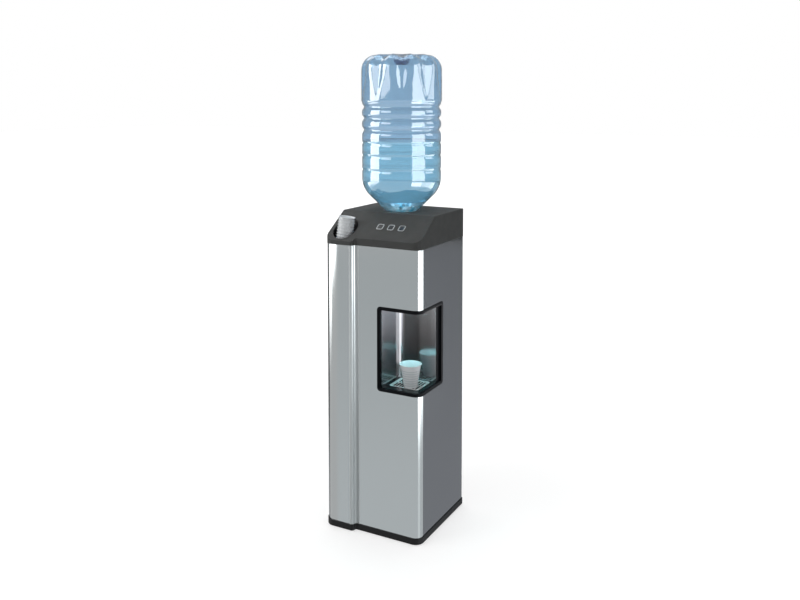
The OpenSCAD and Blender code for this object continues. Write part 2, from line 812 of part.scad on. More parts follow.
module tank_lid() {
    color("#dfe2e3") at_bottle(0) difference() {
        union() {
            translate([0, 0, cold_top]) cylinder(r = lid_r, h = lid_t, $fn = 96);
            translate([lid_port[0], lid_port[1] - bottle_y, cold_top])
                cylinder(r = hose_r, h = lid_t + 10, $fn = 32);
        }
        translate([0, 0, cold_top - past]) cylinder(r = probe_r + snug / 2, h = far, $fn = 48);
        translate([lid_port[0], lid_port[1] - bottle_y, cold_top - past])
            cylinder(r = hose_r - 1, h = far, $fn = 32);
    }
}

module tank_insulation() {
    color("#e8e6dc") at_bottle(0) difference() {
        translate([0, 0, shelf_top]) cylinder(d = foam_d, h = cold_top - shelf_top, $fn = 96);
        translate([0, 0, cold_low]) cylinder(r = evap_r + evap_d / 2 + snug, h = far, $fn = 96);
        translate([port[0], port[1], 0]) cylinder(r = hose_r + snug, h = cold_top, $fn = 32);
        along([0, 0, inlet_z], stub_dir) cylinder(r = hose_r + snug, h = far, $fn = 32);
        for (z = [evap_z, evap_top]) along([0, 0, z], [1, 0, 0])
            cylinder(r = pipe_r + 1, h = far, $fn = 32);
    }
}

module evaporator_coil() {
    color("#b5743c") at_bottle(evap_z) wound(evap_r, evap_rise, evap_turns, evap_d / 2, 6);
}

// Hot tank with its foam, heater and thermostats
hot_at = [-70, 50];
hot_floor = 12;
hot_low = lower_z + hot_floor;
hot_top = hot_low + hot_h;
hot_r = hot_d / 2;
hot_out = [0, -36];
hot_in = [0, 38];
neck_l = 12;
heater_r = 22;
module at_hot(z) { translate([hot_at[0], hot_at[1], z]) children(); }

module hot_tank() {
    color("#c0c4c6") at_hot(0) difference() {
        union() {
            translate([0, 0, hot_low]) cylinder(r = hot_r, h = hot_h, $fn = 96);
            for (p = [hot_out, hot_in]) translate([p[0], p[1], hot_top - past])
                cylinder(r = hose_r, h = neck_l + past, $fn = 32);
        }
        translate([0, 0, hot_low + tank_t])
            cylinder(r = hot_r - tank_t, h = hot_h - 2 * tank_t, $fn = 96);
        translate([0, 0, hot_low + tank_t]) cylinder(r = heater_r - 6, h = far, $fn = 48);
        for (p = [hot_out, hot_in]) translate([p[0], p[1], hot_low + tank_t])
            cylinder(r = hose_r - 1, h = far, $fn = 32);
    }
}

module hot_tank_foam() {
    color("#e8e6dc") at_hot(lower_z) difference() {
        cylinder(r = hot_r + hot_foam, h = hot_floor + hot_h, $fn = 96);
        translate([0, 0, hot_floor]) cylinder(r = hot_r + snug, h = far, $fn = 96);
    }
}

module heater_element() {
    leg = 10;
    rod_r = 4;
    drop = 110;
    color("#8d8f90") at_hot(hot_top) {
        cylinder(r = heater_r, h = 5, $fn = 48);
        hose([[-leg, 0, past], [-leg, 0, -drop], [leg, 0, -drop], [leg, 0, past]], rod_r, leg - past);
    }
}

module thermostats() {
    color("#303335") for (x = [-38, 38]) at_hot(hot_top) translate([x, 0, 0]) {
        cylinder(r = 10, h = 7, $fn = 48);
        translate([-5, -3, 0]) cube([10, 6, 14]);
    }
}

// Shelves and posts
post_w = 20;
post_t = 1.5;
post_x = inner_half - base_wall - snug;
post_front_x = -50;
module post_angle() {
    square([post_w, post_t]);
    square([post_t, post_w]);
}

module post_plan() {
    for (s = [0, 1]) mirror([s, 0]) translate([-post_x, panel_front]) mirror([0, 1]) post_angle();
    translate([post_front_x, front_y + sheet + base_wall + snug]) post_angle();
}

module frame_posts() {
    color("#7d8082") difference() {
        translate([0, 0, floor_z]) linear_extrude(casing_top - floor_z) post_plan();
        screw_shanks(snug);
    }
}

module tank_shelf() {
    color("#8a8d8f") difference() {
        translate([0, 0, shelf_top - shelf_t]) linear_extrude(shelf_t) difference() {
            intersection() {
                plan(-sheet - snug);
                translate([-far, inlet_y + 12]) square([2 * far, panel_front - inlet_y - 12]);
            }
            post_plan();
            translate([110, -far]) square([far, far]);
            translate([suction_x, suction_y]) circle(r = pipe_r + 2, $fn = 32);
            translate([drier_at[0], drier_at[1]]) circle(r = pipe_r + 2, $fn = 32);
            translate([port[0], port[1] + bottle_y]) circle(r = hose_r + snug, $fn = 32);
        }
    }
}

module lower_shelf() {
    color("#8a8d8f") translate([0, 0, lower_z - shelf_t]) linear_extrude(shelf_t) difference() {
        intersection() {
            plan(-sheet - snug);
            translate([-far, -far]) square([far + 5, far + panel_front]);
        }
        post_plan();
    }
}

// Compressor, condenser and the pipes between them
comp_at = [10, bottle_y - 14];
comp_r = comp_d / 2;
comp_foot = [150, 120, 3];
mount_h = 18;
mount_spots = [for (a = [-1, 1], b = [-1, 1]) [comp_at[0] + a * 62, comp_at[1] + b * 48]];
foot_z = floor_z + mount_h;
dome_h = 34;
pipe_r = 3;
cond_y = panel_back + 16;
cond_half = 125;
cond_r = cond_d / 2;
cond_top = casing_top - 254;
cond_low = cond_top - (cond_runs - 1) * cond_pitch;
riser_x = -145;
riser_z = 140;
discharge_z = 110;
suction_x = 125;
suction_y = comp_at[1];
suction_z = 95;
drier_at = [142, 100];
drier_z = 275;
drier_h = 110;
drier_r = 9;
module compressor() {
    body_low = foot_z + comp_foot[2] / 2;
    color("#1c1e1f") {
        translate([comp_at[0], comp_at[1], 0]) rotate_extrude($fn = 96) polygon(concat(
            [[0, body_low]], [for (t = [-60:15:0]) [comp_r * cos(t),
                body_low + dome_h + dome_h * sin(t)]],
            [for (t = [0:10:90]) [comp_r * cos(t), body_low + comp_h - dome_h + dome_h * sin(t)]]));
        difference() {
            translate([comp_at[0] - comp_foot[0] / 2, comp_at[1] - comp_foot[1] / 2, foot_z])
                cube(comp_foot);
            for (p = mount_spots) translate([p[0], p[1], 0]) cylinder(r = 5, h = far, $fn = 32);
        }
    }
}

module compressor_mounts() {
    color("#2e2e2e") for (p = mount_spots) translate([p[0], p[1], floor_z]) {
        cylinder(r = 9, h = mount_h, $fn = 32);
        cylinder(r = 4.8, h = mount_h + comp_foot[2] + 2, $fn = 32);
        translate([0, 0, mount_h + comp_foot[2]]) cylinder(r = 8, h = 4, $fn = 32);
    }
}

relay = [30, 20, 40];
module start_relay() {
    color("#333638") translate([comp_at[0] - relay[0] / 2, comp_at[1] - comp_r - snug - relay[1],
        60]) cube(relay);
}

function run_points(i) = let (z = cond_top - i * cond_pitch)
    i % 2 == 0 ? [[i == 0 ? riser_x : -cond_half, cond_y, z], [cond_half, cond_y, z]]
        : [[cond_half, cond_y, z], [-cond_half, cond_y, z]];
module condenser_tube() {
    color("#202224") hose(concat([[riser_x, cond_y, riser_z + snug]], [for (i = [0:cond_runs - 1])
        each run_points(i)]),
        cond_r, min(cond_pitch / 2 - past, 19));
}

wires = floor(cond_half / wire_pitch);
module condenser_wires() {
    color("#202224") for (i = [-wires:wires], s = [-1, 1])
        translate([i * wire_pitch, cond_y + s * (cond_r + wire_d / 2 + snug), cond_low - 22])
            cylinder(d = wire_d, h = cond_top - cond_low + 44, $fn = 16);
}

clip = [10, 22, 10];
clip_spots = [for (x = [-1, 1], i = [1, cond_runs - 2]) [x * (wires - 1.5) * wire_pitch,
    cond_top - i * cond_pitch]];
module condenser_brackets() {
    color("#2c2f31") for (p = clip_spots) difference() {
        translate([p[0] - clip[0] / 2, panel_back, p[1] - clip[2] / 2]) cube(clip);
        translate([p[0] - clip[0], cond_y, p[1]]) rotate([0, 90, 0])
            cylinder(r = cond_r + snug, h = 2 * clip[0], $fn = 32);
    }
}

module refrigerant_pipes() {
    color("#b5743c") {
        hose([[comp_at[0] - comp_r - snug, comp_at[1], discharge_z], [riser_x, comp_at[1], discharge_z],
            [riser_x, cond_y, discharge_z], [riser_x, cond_y, riser_z]], cond_r, 12);
        hose([[cond_half + snug, cond_y, cond_low], [drier_at[0], cond_y, cond_low],
            [drier_at[0], drier_at[1], cond_low], [drier_at[0], drier_at[1], drier_z]], cond_r, 8);
        hose([[drier_at[0], drier_at[1], drier_z + drier_h], [drier_at[0], drier_at[1], evap_z],
            [drier_at[0], bottle_y, evap_z], [evap_r + evap_d / 2 + snug, bottle_y, evap_z]],
                pipe_r / 2, 12);
        hose([[evap_r + evap_d / 2 + snug, bottle_y, evap_top], [foam_d / 2 + 9, bottle_y, evap_top],
            [suction_x, suction_y, evap_top], [suction_x, suction_y, suction_z],
            [comp_at[0] + comp_r + snug, suction_y, suction_z]], pipe_r, 8);
    }
}

module filter_drier() {
    color("#b5743c") translate([drier_at[0], drier_at[1], drier_z]) {
        cylinder(r = drier_r, h = drier_h, $fn = 48);
    }
}

// Water hoses
module cold_hose() {
    x = cup_spot[0] - valve_pitch;
    far_end = [0, bottle_y, inlet_z] + stub_dir * (stub_reach + snug);
    turn_y = bottle_y + stub_dir[1] / stub_dir[0] * x;
    color("#e9f3f7") hose([[x, inlet_y + snug, inlet_z], [x, turn_y, inlet_z], far_end], hose_r, 8);
}

module room_hose() {
    x = cup_spot[0];
    high = cold_top + 34;
    color("#e9f3f7") hose([[lid_port[0], lid_port[1], cold_top + lid_t + 10 + snug], [lid_port[0],
        lid_port[1], high],
        [x, inlet_y + 14, high], [x, inlet_y + 14, inlet_z], [x, inlet_y + snug, inlet_z]], hose_r, 8);
}

module hot_hose() {
    x = cup_spot[0] + valve_pitch;
    low = shelf_top - 20;
    color("#f2e5e0") hose([[x, inlet_y + snug, inlet_z], [x, inlet_y + 14, inlet_z], [x,
        inlet_y + 14, low],
        [hot_at[0] + hot_out[0], hot_at[1] + hot_out[1], low],
        [hot_at[0] + hot_out[0], hot_at[1] + hot_out[1], hot_top + neck_l + snug]], hose_r, 8);
}

module feed_hose() {
    mid = (shelf_top + hot_top) / 2;
    color("#e9f3f7") hose([[port[0], bottle_y + port[1], shelf_top - shelf_t - 6 - snug], [port[0],
        bottle_y + port[1], mid],
        [hot_at[0] + hot_in[0], hot_at[1] + hot_in[1], mid],
        [hot_at[0] + hot_in[0], hot_at[1] + hot_in[1], hot_top + neck_l + snug]], hose_r, 8);
}

// Back panel with its vents, screws, power inlet and two rocker switches
elec_z = 70;
inlet_x = 95;
switch_xs = [20, 52];
inlet_flange = [52, 2, 30];
inlet_body = [46, 20, 25];
inlet_hole = [27, 17, 18];
switch_flange = [24, 2, 30];
switch_body = [20, 18, 26];
switch_pocket = [14, 13, 20];
rocker = [13.2, 3, 19];
rocker_tilt = 8;
rocker_pin_r = 1.2;
pin_play = 0.06;
rocker_y = panel_back + 0.5;
screw_r = 2;
screw_zs = [for (t = [0.06, 0.35, 0.65, 0.97]) floor_z + t * (casing_top - floor_z)];
screw_x = post_x - post_w / 2;
module screw_shanks(grow) {
    for (s = [-1, 1], z = screw_zs) translate([s * screw_x, panel_back + past, z]) rotate([90, 0, 0])
        cylinder(r = screw_r + grow, h = sheet + post_t + 3 * past, $fn = 24);
}

// A block centred on x and z, from depth y0 to y1
module block(x, z, w, h, y0, y1) {
    translate([x - w / 2, y0, z - h / 2]) cube([w, y1 - y0, h]);
}

module rear_panel() {
    color("#9b9ea0") difference() {
        union() {
            translate([-inner_half + snug, panel_front, base_top])
                cube([2 * (inner_half - snug), sheet, casing_top - base_top]);
            translate([-post_x, panel_front, floor_z])
                cube([2 * post_x, sheet, base_top - floor_z + past]);
        }
        for (i = [0:5], s = [-1, 1])
            block(s * 70, casing_top - 50 - i * 14, 90, 5, panel_front - past, panel_back + past);
        block(inlet_x, elec_z, inlet_body[0] + snug, inlet_body[2] + snug, panel_front - past,
            panel_back + past);
        for (x = switch_xs) block(x, elec_z, switch_body[0] + snug, switch_body[2] + snug,
            panel_front - past, panel_back + past);
        for (p = [[riser_x, discharge_z], [drier_at[0], cond_low]])
            translate([p[0], panel_back + past, p[1]])
            rotate([90, 0, 0]) cylinder(r = cond_r + 1, h = sheet + 2 * past, $fn = 32);
        screw_shanks(snug);
    }
}

module panel_screws() {
    color("#b9bcbe") {
        intersection() {
            screw_shanks(0);
            translate([-far, panel_front - post_t - 2 * past, 0]) cube([2 * far, far, 2 * far]);
        }
        for (s = [-1, 1], z = screw_zs) translate([s * screw_x, panel_back + 2, z]) rotate([90, 0, 0])
            cylinder(r = 3.6, h = 2, $fn = 32);
    }
}

module power_inlet() {
    color("#1a1c1d") difference() {
        union() {
            block(inlet_x, elec_z, inlet_flange[0], inlet_flange[2], panel_back,
                panel_back + inlet_flange[1]);
            block(inlet_x, elec_z, inlet_body[0], inlet_body[2], panel_back - inlet_body[1],
                panel_back + past);
        }
        difference() {
            block(inlet_x, elec_z, inlet_hole[0], inlet_hole[2], panel_back - inlet_hole[1],
                panel_back + far);
            for (i = [-1:1]) block(inlet_x + i * 7, elec_z + (i == 0 ? 2 : -2), 4, 2,
                panel_back - far, panel_back - 1);
        }
    }
}

module switch_housings() {
    color("#1a1c1d") for (x = switch_xs) difference() {
        union() {
            block(x, elec_z, switch_flange[0], switch_flange[2], panel_back,
                panel_back + switch_flange[1]);
            block(x, elec_z, switch_body[0], switch_body[2], panel_back - switch_body[1],
                panel_back + past);
        }
        block(x, elec_z, switch_pocket[0], switch_pocket[2], panel_back - switch_pocket[1],
            panel_back + far);
        translate([x, rocker_y, elec_z]) rotate([0, 90, 0])
            cylinder(r = rocker_pin_r + pin_play, h = switch_pocket[0] + 2.4, center = true, $fn = 32);
    }
}

module rocker_key(x) {
    translate([x, rocker_y, elec_z]) rotate([rocker_tilt, 0, 0]) {
        cube(rocker, center = true);
        rotate([0, 90, 0]) cylinder(r = 2.2, h = rocker[0], center = true, $fn = 32);
        rotate([0, 90, 0]) cylinder(r = rocker_pin_r, h = rocker[0] + 2.4, center = true, $fn = 32);
    }
}
module hot_rocker() { color("#b3262a") rocker_key(switch_xs[0]); }
module cold_rocker() { color("#2a8a4a") rocker_key(switch_xs[1]); }

// Electric box on the base and the cable loom that climbs to the circuit board
box_size = [100, 70, 50];
box_at = [-30, front_y + 24];
loom_at = [18, front_y + 59];
loom_r = 2.5;
module electric_box() {
    color("#44484a") translate([box_at[0], box_at[1], floor_z]) {
        cube(box_size);
        for (i = [0:3]) translate([14 + i * 20, box_size[1] - 12, box_size[2] - past])
            cube([12, 8, 5 + past]);
    }
}

module wiring_harness() {
    low = floor_z + box_size[2] + snug;
    under = board_drop + board_t;
    high = lip_top + (loom_at[1] - loom_r - front_y) * tan(slope_deg) - under / cos(slope_deg) - snug;
    jog = 6;
    color("#2b2b2e") hose([[loom_at[0], loom_at[1], low], [loom_at[0], loom_at[1], low + 240],
        [loom_at[0] - jog, loom_at[1], low + 290], [loom_at[0] - jog, loom_at[1], high - 90],
        [loom_at[0], loom_at[1], high - 40], [loom_at[0], loom_at[1], high]], loom_r, 20);
}

base_plinth();
rubber_feet();
casing_wrap();
rear_panel();
frame_posts();
tank_shelf();
lower_shelf();
niche_bezel();
niche_liner();
tray_support();
drip_tray();
drip_grille();
loose_cup();
nozzle();
niche_lamp();
outlet_manifold();
solenoid_valves();
top_cover();
button_carrier();
light_rings();
button_left();
button_middle();
button_right();
control_board();
bottle_funnel();
feed_probe();
bottle();
bottle_cap();
cup_tube();
cup_lift_plate();
cup_spring();
cup_stack();
top_cup();
cold_tank();
tank_lid();
tank_insulation();
evaporator_coil();
hot_tank();
hot_tank_foam();
heater_element();
thermostats();
compressor();
compressor_mounts();
start_relay();
condenser_tube();
condenser_wires();
condenser_brackets();
refrigerant_pipes();
filter_drier();
cold_hose();
room_hose();
hot_hose();
feed_hose();
power_inlet();
switch_housings();
hot_rocker();
cold_rocker();
electric_box();
wiring_harness();
panel_screws();
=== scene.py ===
import json
import math

import bpy
import numpy as np
from bpy.props import FloatProperty, FloatVectorProperty, IntProperty, PointerProperty
from bpy.types import Operator, Panel, PropertyGroup
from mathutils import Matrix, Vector

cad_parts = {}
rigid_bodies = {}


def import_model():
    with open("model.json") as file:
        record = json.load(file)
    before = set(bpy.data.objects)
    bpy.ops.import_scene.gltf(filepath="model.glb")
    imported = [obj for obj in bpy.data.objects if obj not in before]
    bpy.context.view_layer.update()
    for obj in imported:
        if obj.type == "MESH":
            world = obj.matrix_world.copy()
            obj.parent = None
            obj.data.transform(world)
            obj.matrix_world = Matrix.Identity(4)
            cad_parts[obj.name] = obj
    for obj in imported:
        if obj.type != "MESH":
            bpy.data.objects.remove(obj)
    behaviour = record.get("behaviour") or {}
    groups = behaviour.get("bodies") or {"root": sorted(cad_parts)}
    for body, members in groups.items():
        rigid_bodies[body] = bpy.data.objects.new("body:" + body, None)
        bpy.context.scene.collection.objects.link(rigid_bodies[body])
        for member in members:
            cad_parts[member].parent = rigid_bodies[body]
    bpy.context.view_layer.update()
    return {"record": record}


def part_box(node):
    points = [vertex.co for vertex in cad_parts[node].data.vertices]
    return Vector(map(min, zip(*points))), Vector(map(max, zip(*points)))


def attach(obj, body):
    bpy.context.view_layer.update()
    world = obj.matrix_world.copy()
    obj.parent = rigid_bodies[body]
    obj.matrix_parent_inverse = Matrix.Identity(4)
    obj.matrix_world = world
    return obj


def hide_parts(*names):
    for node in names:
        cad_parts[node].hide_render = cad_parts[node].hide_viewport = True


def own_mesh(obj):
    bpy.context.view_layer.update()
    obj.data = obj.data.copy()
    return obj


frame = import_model()

bl_info = {
    "name": "Bottled-water dispenser",
    "version": (1, 0, 0),
    "blender": (4, 5, 0),
    "location": "3D View > Sidebar > Dispenser",
    "description": "Dresses the packed frame of a floor-standing bottled-water dispenser",
    "category": "Object",
}

MM = 0.001
BOTTLE_LOW, BOTTLE_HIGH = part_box("bottle")
COVER_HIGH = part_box("top_cover")[1]
TUBE_LOW, TUBE_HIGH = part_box("cup_tube")
LAMP_LOW, LAMP_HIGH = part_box("niche_lamp")
LOOSE_LOW, LOOSE_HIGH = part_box("loose_cup")
TUBE_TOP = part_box("top_cup")[1].z
JOINTS = {joint["name"]: joint for joint in frame["record"]["behaviour"]["joints"]}

# Heights above the cover in millimetres: the ring grooves, the step under the fluted end, the cone's cast foot
DEEP_GROOVES = (274, 313, 351)
LOW_GROOVES = (140, 188, 230)
STEP_FROM, STEP_TO = 367, 373
CAST_FROM, CAST_TO = 16, 34

SPRING_WIRE, SPRING_TURNS = 1.2 * MM, 12
WHITE, COOL, LILAC = (1.0, 1.0, 1.0), (0.94, 0.98, 1.0), (0.90, 0.92, 1.0)


# Settings

def length(label, text, default, low=0.0):
    """A length in metres with its description."""
    return FloatProperty(name=label, description=text, default=default, min=low, unit="LENGTH", precision=4)


def tint(label, text, default):
    """A linear colour with its description."""
    return FloatVectorProperty(name=label, description=text, default=default, size=3, min=0.0, max=1.0,
                               subtype="COLOR")


class BottleSettings(PropertyGroup):
    """Sizes and colours of the bottle and its water."""
    wall: length("Wall", "Thickness of the bottle's wall", 1.5 * MM)
    neck: length("Neck radius", "Outer radius of the neck", 27.5 * MM)
    seat: length("Cone radius", "Radius of the cone at the cover's flat top", 57 * MM)
    shoulder: length("Shoulder radius", "Radius of the curve from the cone to the side", 84 * MM)
    crown: length("Crown radius", "Radius of the curve from the side to the bottle's foot", 50 * MM)
    step_in: length("Step", "How far the side stands in below the fluted end", 2.2 * MM)
    groove_half: length("Groove half height", "Half height of a ring groove", 8 * MM)
    deep_groove: length("Deep groove", "Depth of the three upper ring grooves", 7 * MM)
    low_groove: length("Low groove", "Depth of the three lower ring grooves", 2.4 * MM)
    low_half: length("Low groove half height", "Half height of a lower ring groove", 4 * MM)
    flutes: IntProperty(name="Flutes", description="Number of flutes round the upturned foot", default=10, min=3)
    flute_depth: length("Flute depth", "Depth of a flute at the edge of the foot", 11 * MM)
    flute_foot: length("Flute height", "Distance of the flutes' points below the top", 155 * MM)
    cone_ribs: IntProperty(name="Cone facets", description="Number of facets round the foot of the cone",
                           default=17, min=3)
    cone_rib: length("Cone facet depth", "Depth of a facet at the foot of the cone", 4.0 * MM)
    punt_radius: length("Punt radius", "Radius of the hollow in the middle of the foot", 34 * MM)
    punt_depth: length("Punt depth", "Depth of that hollow", 34 * MM)
    water_level: length("Water level", "Height of the water above the cover", 236.5 * MM)
    pale: tint("Wall colour", "Tint of the thin wall", (0.44, 0.60, 0.735))
    deep: tint("Thick wall colour", "Tint where the wall is thick or seen along", (0.20, 0.38, 0.55))
    wet: tint("Wet wall colour", "Tint of the wall where water stands behind it", (0.46, 0.65, 0.775))
    wet_deep: tint("Wet edge colour", "Tint of the wet wall seen along", (0.30, 0.66, 0.76))
    navy: tint("Foot colour", "Tint of the thick middle of the foot", (0.005, 0.10, 0.36))
    water: tint("Water colour", "Tint of the water", (0.70, 0.90, 0.93))


class CupSettings(PropertyGroup):
    """Sizes and colour of the drinking cups."""
    rim: length("Rim radius", "Outer radius of a column cup's rim", 28 * MM)
    foot: length("Foot radius", "Radius of a column cup's foot", 18 * MM)
    height: length("Height", "Height of a column cup", 75 * MM)
    nest: length("Nesting", "Height that each nested cup adds", 9 * MM)
    count: IntProperty(name="Cups below", description="Number of cups under the top one", default=9, min=1)
    lean: FloatProperty(name="Lean", description="How far the stack leans in its tube", default=math.radians(7.5),
                        subtype="ANGLE")
    lean_to: FloatProperty(name="Lean heading", description="Which way the stack leans",
                           default=math.radians(28), subtype="ANGLE")
    shift: length("Shift", "How far the stack's rim stands off the tube's axis", 4.6 * MM)
    band: length("Collar", "Height of the smooth collar below the rim", 17 * MM)
    big_rim: length("Large rim radius", "Outer radius of the rim of the cup in the niche", 36 * MM)
    big_foot: length("Large foot radius", "Radius of its foot", 22.5 * MM)
    big_height: length("Large height", "Its height", 76 * MM)
    wall: length("Wall", "Thickness of a cup's wall", 0.6 * MM)
    bead: length("Bead radius", "Radius of the rolled rim", 1.2 * MM)
    rib_depth: length("Rib depth", "Depth of a cup's ribs", 1.1 * MM)
    white: tint("Cup colour", "Colour of the cups", (0.86, 0.885, 0.905))


class CabinetSettings(PropertyGroup):
    """Colours of the cabinet's outer finishes."""
    lacquer: tint("Lacquer", "Silver-grey lacquer of the casing", (0.355, 0.372, 0.375))
    cover: tint("Cover", "Charcoal plastic of the top cover", (0.072, 0.0735, 0.0725))
    trim: tint("Trim", "Black plastic of the niche's frame", (0.004, 0.0045, 0.006))
    steel: tint("Niche steel", "Polished steel of the niche's lining", (0.465, 0.465, 0.475))
    ring: tint("Rings", "Pale outlines round the buttons", (0.62, 0.65, 0.66))


class StudioSettings(PropertyGroup):
    """Camera and light."""
    place: FloatVectorProperty(name="Camera place", description="Where the camera stands", size=3,
                               default=(1.368, -2.5112, 1.4304), subtype="TRANSLATION", unit="LENGTH")
    heading: FloatProperty(name="Heading", description="Camera's turn to the left of the view along +Y",
                           default=math.radians(28.27), subtype="ANGLE")
    pitch: FloatProperty(name="Pitch", description="How far the camera looks down",
                         default=math.radians(3.73), subtype="ANGLE")
    lens: FloatProperty(name="Lens", description="Focal length in millimetres on a 36 mm sensor", default=38.4)
    rise: FloatProperty(name="Vertical shift", description="Lens shift in widths of the frame", default=-0.1826)
    ambient: FloatProperty(name="Ambient", description="Strength of the world's light on matt surfaces",
                           default=0.40)
    niche_glow: tint("Niche light", "Colour of the small lamp above the cup", (0.36, 0.95, 1.0))


# Meshes

def lathe_faces(rows, columns, flip):
    """Quads of a grid that is closed round its columns, with its first and last rows drawn to one point each."""
    row = np.arange(rows - 1)[:, None] * columns
    here = np.arange(columns)
    after = (here + 1) % columns
    quads = np.stack([row + here, row + columns + here, row + columns + after, row + after], -1).reshape(-1, 4)
    last = rows * columns
    top = np.stack([np.full(columns, last), here, after], -1)
    base = (rows - 1) * columns
    bottom = np.stack([base + after, base + here, np.full(columns, last + 1)], -1)
    turn = slice(None, None, -1 if flip else 1)
    return [face[turn] for part in (quads, top, bottom) for face in part.tolist()]


def grid_faces(rows, columns):
    """Quads of an open grid."""
    index = np.arange(rows * columns).reshape(rows, columns)
    return np.stack([index[:-1, :-1], index[1:, :-1], index[1:, 1:], index[:-1, 1:]], -1).reshape(-1, 4).tolist()


def linked(name, data):
    """A new object of the scene with the given data."""
    made = bpy.data.objects.new(name, data)
    bpy.context.scene.collection.objects.link(made)
    return made


def mesh_object(name, points, faces, material):
    """A new mesh object with one material."""
    mesh = bpy.data.meshes.new(name)
    mesh.from_pydata(points.reshape(-1, 3).tolist(), [], faces)
    mesh.materials.append(material)
    return linked(name, mesh)


def build(name, points, faces, material, slot, body, *replaced):
    """A smooth mesh piece with one material, riding on a body of the frame and standing for its nodes."""
    piece = mesh_object(name, points, faces, material)
    piece.data.shade_smooth()
    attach(piece, body)
    if replaced:
        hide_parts(*replaced)
    return piece


def paint(piece, name, values):
    """Stores one number per point on a piece, for its material to read."""
    piece.data.attributes.new(name, "FLOAT", "POINT").data.foreach_set("value", values.astype(np.float32))


def revolve(radius, height, columns):
    """Points (r cos a, r sin a, z) for profile arrays r and z, one row each, and even angles a round the axis."""
    angle = np.linspace(0, 2 * np.pi, columns, endpoint=False)
    radius = np.broadcast_to(radius.reshape(len(radius), -1), (len(radius), columns))
    height = np.broadcast_to(height.reshape(len(height), -1), (len(height), columns))
    return np.stack([radius * np.cos(angle), radius * np.sin(angle), height], -1)


def close_poles(grid):
    """The grid's points with the middles of its first and last rows added as poles."""
    return np.concatenate([grid.reshape(-1, 3), grid[:1].mean(1), grid[-1:].mean(1)])


def ease(value, low, high):
    """0 below low, 1 above high and a smooth cubic step between them."""
    share = np.clip((value - low) / (high - low), 0, 1)
    return share * share * (3 - 2 * share)


def arc(middle, radius, start, stop, steps):
    """Profile points on a circle from one angle to another, in degrees."""
    angle = np.radians(np.linspace(start, stop, steps))
    return middle[0] + radius * np.cos(angle), middle[1] + radius * np.sin(angle)


def ring_grooves(height, settings):
    """Depth of the ring grooves at a height: a sum of Gaussian dips, three deep and three low."""
    top = COVER_HIGH.z
    dip = sum(settings.deep_groove * np.exp(-((height - top - up * MM) / settings.groove_half) ** 2)
              for up in DEEP_GROOVES)
    return dip + sum(settings.low_groove * np.exp(-((height - top - up * MM) / settings.low_half) ** 2)
                     for up in LOW_GROOVES)


def barrel_radius(height, settings):
    """Radius of the bottle's straight side at a height."""
    widest = (BOTTLE_HIGH.x - BOTTLE_LOW.x) / 2
    step = settings.step_in * (1 - ease(height, COVER_HIGH.z + STEP_FROM * MM, COVER_HIGH.z + STEP_TO * MM))
    return widest - step - ring_grooves(height, settings)


def bottle_profile(settings):
    """Outer profile from the middle of the upturned foot to the mouth: r, z and the unit normal of each row."""
    top, mouth = BOTTLE_HIGH.z, BOTTLE_LOW.z
    widest = (BOTTLE_HIGH.x - BOTTLE_LOW.x) / 2
    foot_r = np.linspace(2 * MM, widest - settings.crown, 16)
    foot_z = top - settings.punt_depth * (1 - ease(foot_r, settings.punt_radius * 0.6, settings.punt_radius))
    crown_r, crown_z = arc((widest - settings.crown, top - settings.crown), settings.crown, 84, 6, 12)
    side_r = widest - settings.step_in
    knee_z = COVER_HIGH.z - settings.seat + side_r + settings.shoulder * (math.sqrt(2) - 1)
    side_z = np.linspace(top - settings.crown, knee_z, 132)
    knee_r, low_z = arc((side_r - settings.shoulder, knee_z), settings.shoulder, -4, -45, 12)
    cone_r = np.linspace(knee_r[-1], settings.neck, 8)[1:]
    cone_z = COVER_HIGH.z - settings.seat + cone_r
    neck_z = np.linspace(cone_z[-1], mouth, 5)[1:]
    radius = np.concatenate([foot_r, crown_r, barrel_radius(side_z, settings), knee_r, cone_r,
                             np.full(4, settings.neck)])
    height = np.concatenate([foot_z, crown_z, side_z, low_z, cone_z, neck_z])
    slope_r, slope_z = np.gradient(radius), np.gradient(height)
    size = np.hypot(slope_r, slope_z)
    return radius, height, -slope_z / size, slope_r / size


def flute_depth(radius, height, columns, settings):
    """Depth of the flutes: a Gaussian valley every 36 degrees, which opens and deepens towards the foot."""
    top = BOTTLE_HIGH.z
    rise = ease(height, top - settings.flute_foot, top - 60 * MM) * ease(radius, 30 * MM, 80 * MM)
    facing = bpy.context.scene.dispenser_studio.heading - math.pi / 2
    angle = np.linspace(0, 2 * np.pi, columns, endpoint=False) - facing
    period = 2 * math.pi / settings.flutes
    offset = (angle + period / 2) % period - period / 2
    half = period * (0.06 + 0.26 * ease(height, top - settings.flute_foot, top - 10 * MM))
    valley = np.exp(-(offset[None, :] / half[:, None]) ** 2)
    return settings.flute_depth * rise[:, None] * valley


def cone_ribs(height, columns, settings):
    """Depth of the short facets round the foot of the cone: cusped waves round the axis that fade upwards."""
    angle = np.linspace(0, 2 * np.pi, columns, endpoint=False)
    share = 1 - ease(height, COVER_HIGH.z + 4 * MM, COVER_HIGH.z + 26 * MM)
    share *= ease(height, COVER_HIGH.z - 16 * MM, COVER_HIGH.z - 6 * MM)
    return settings.cone_rib * share[:, None] * (1 - np.abs(np.cos(settings.cone_ribs * angle / 2)))[None, :]


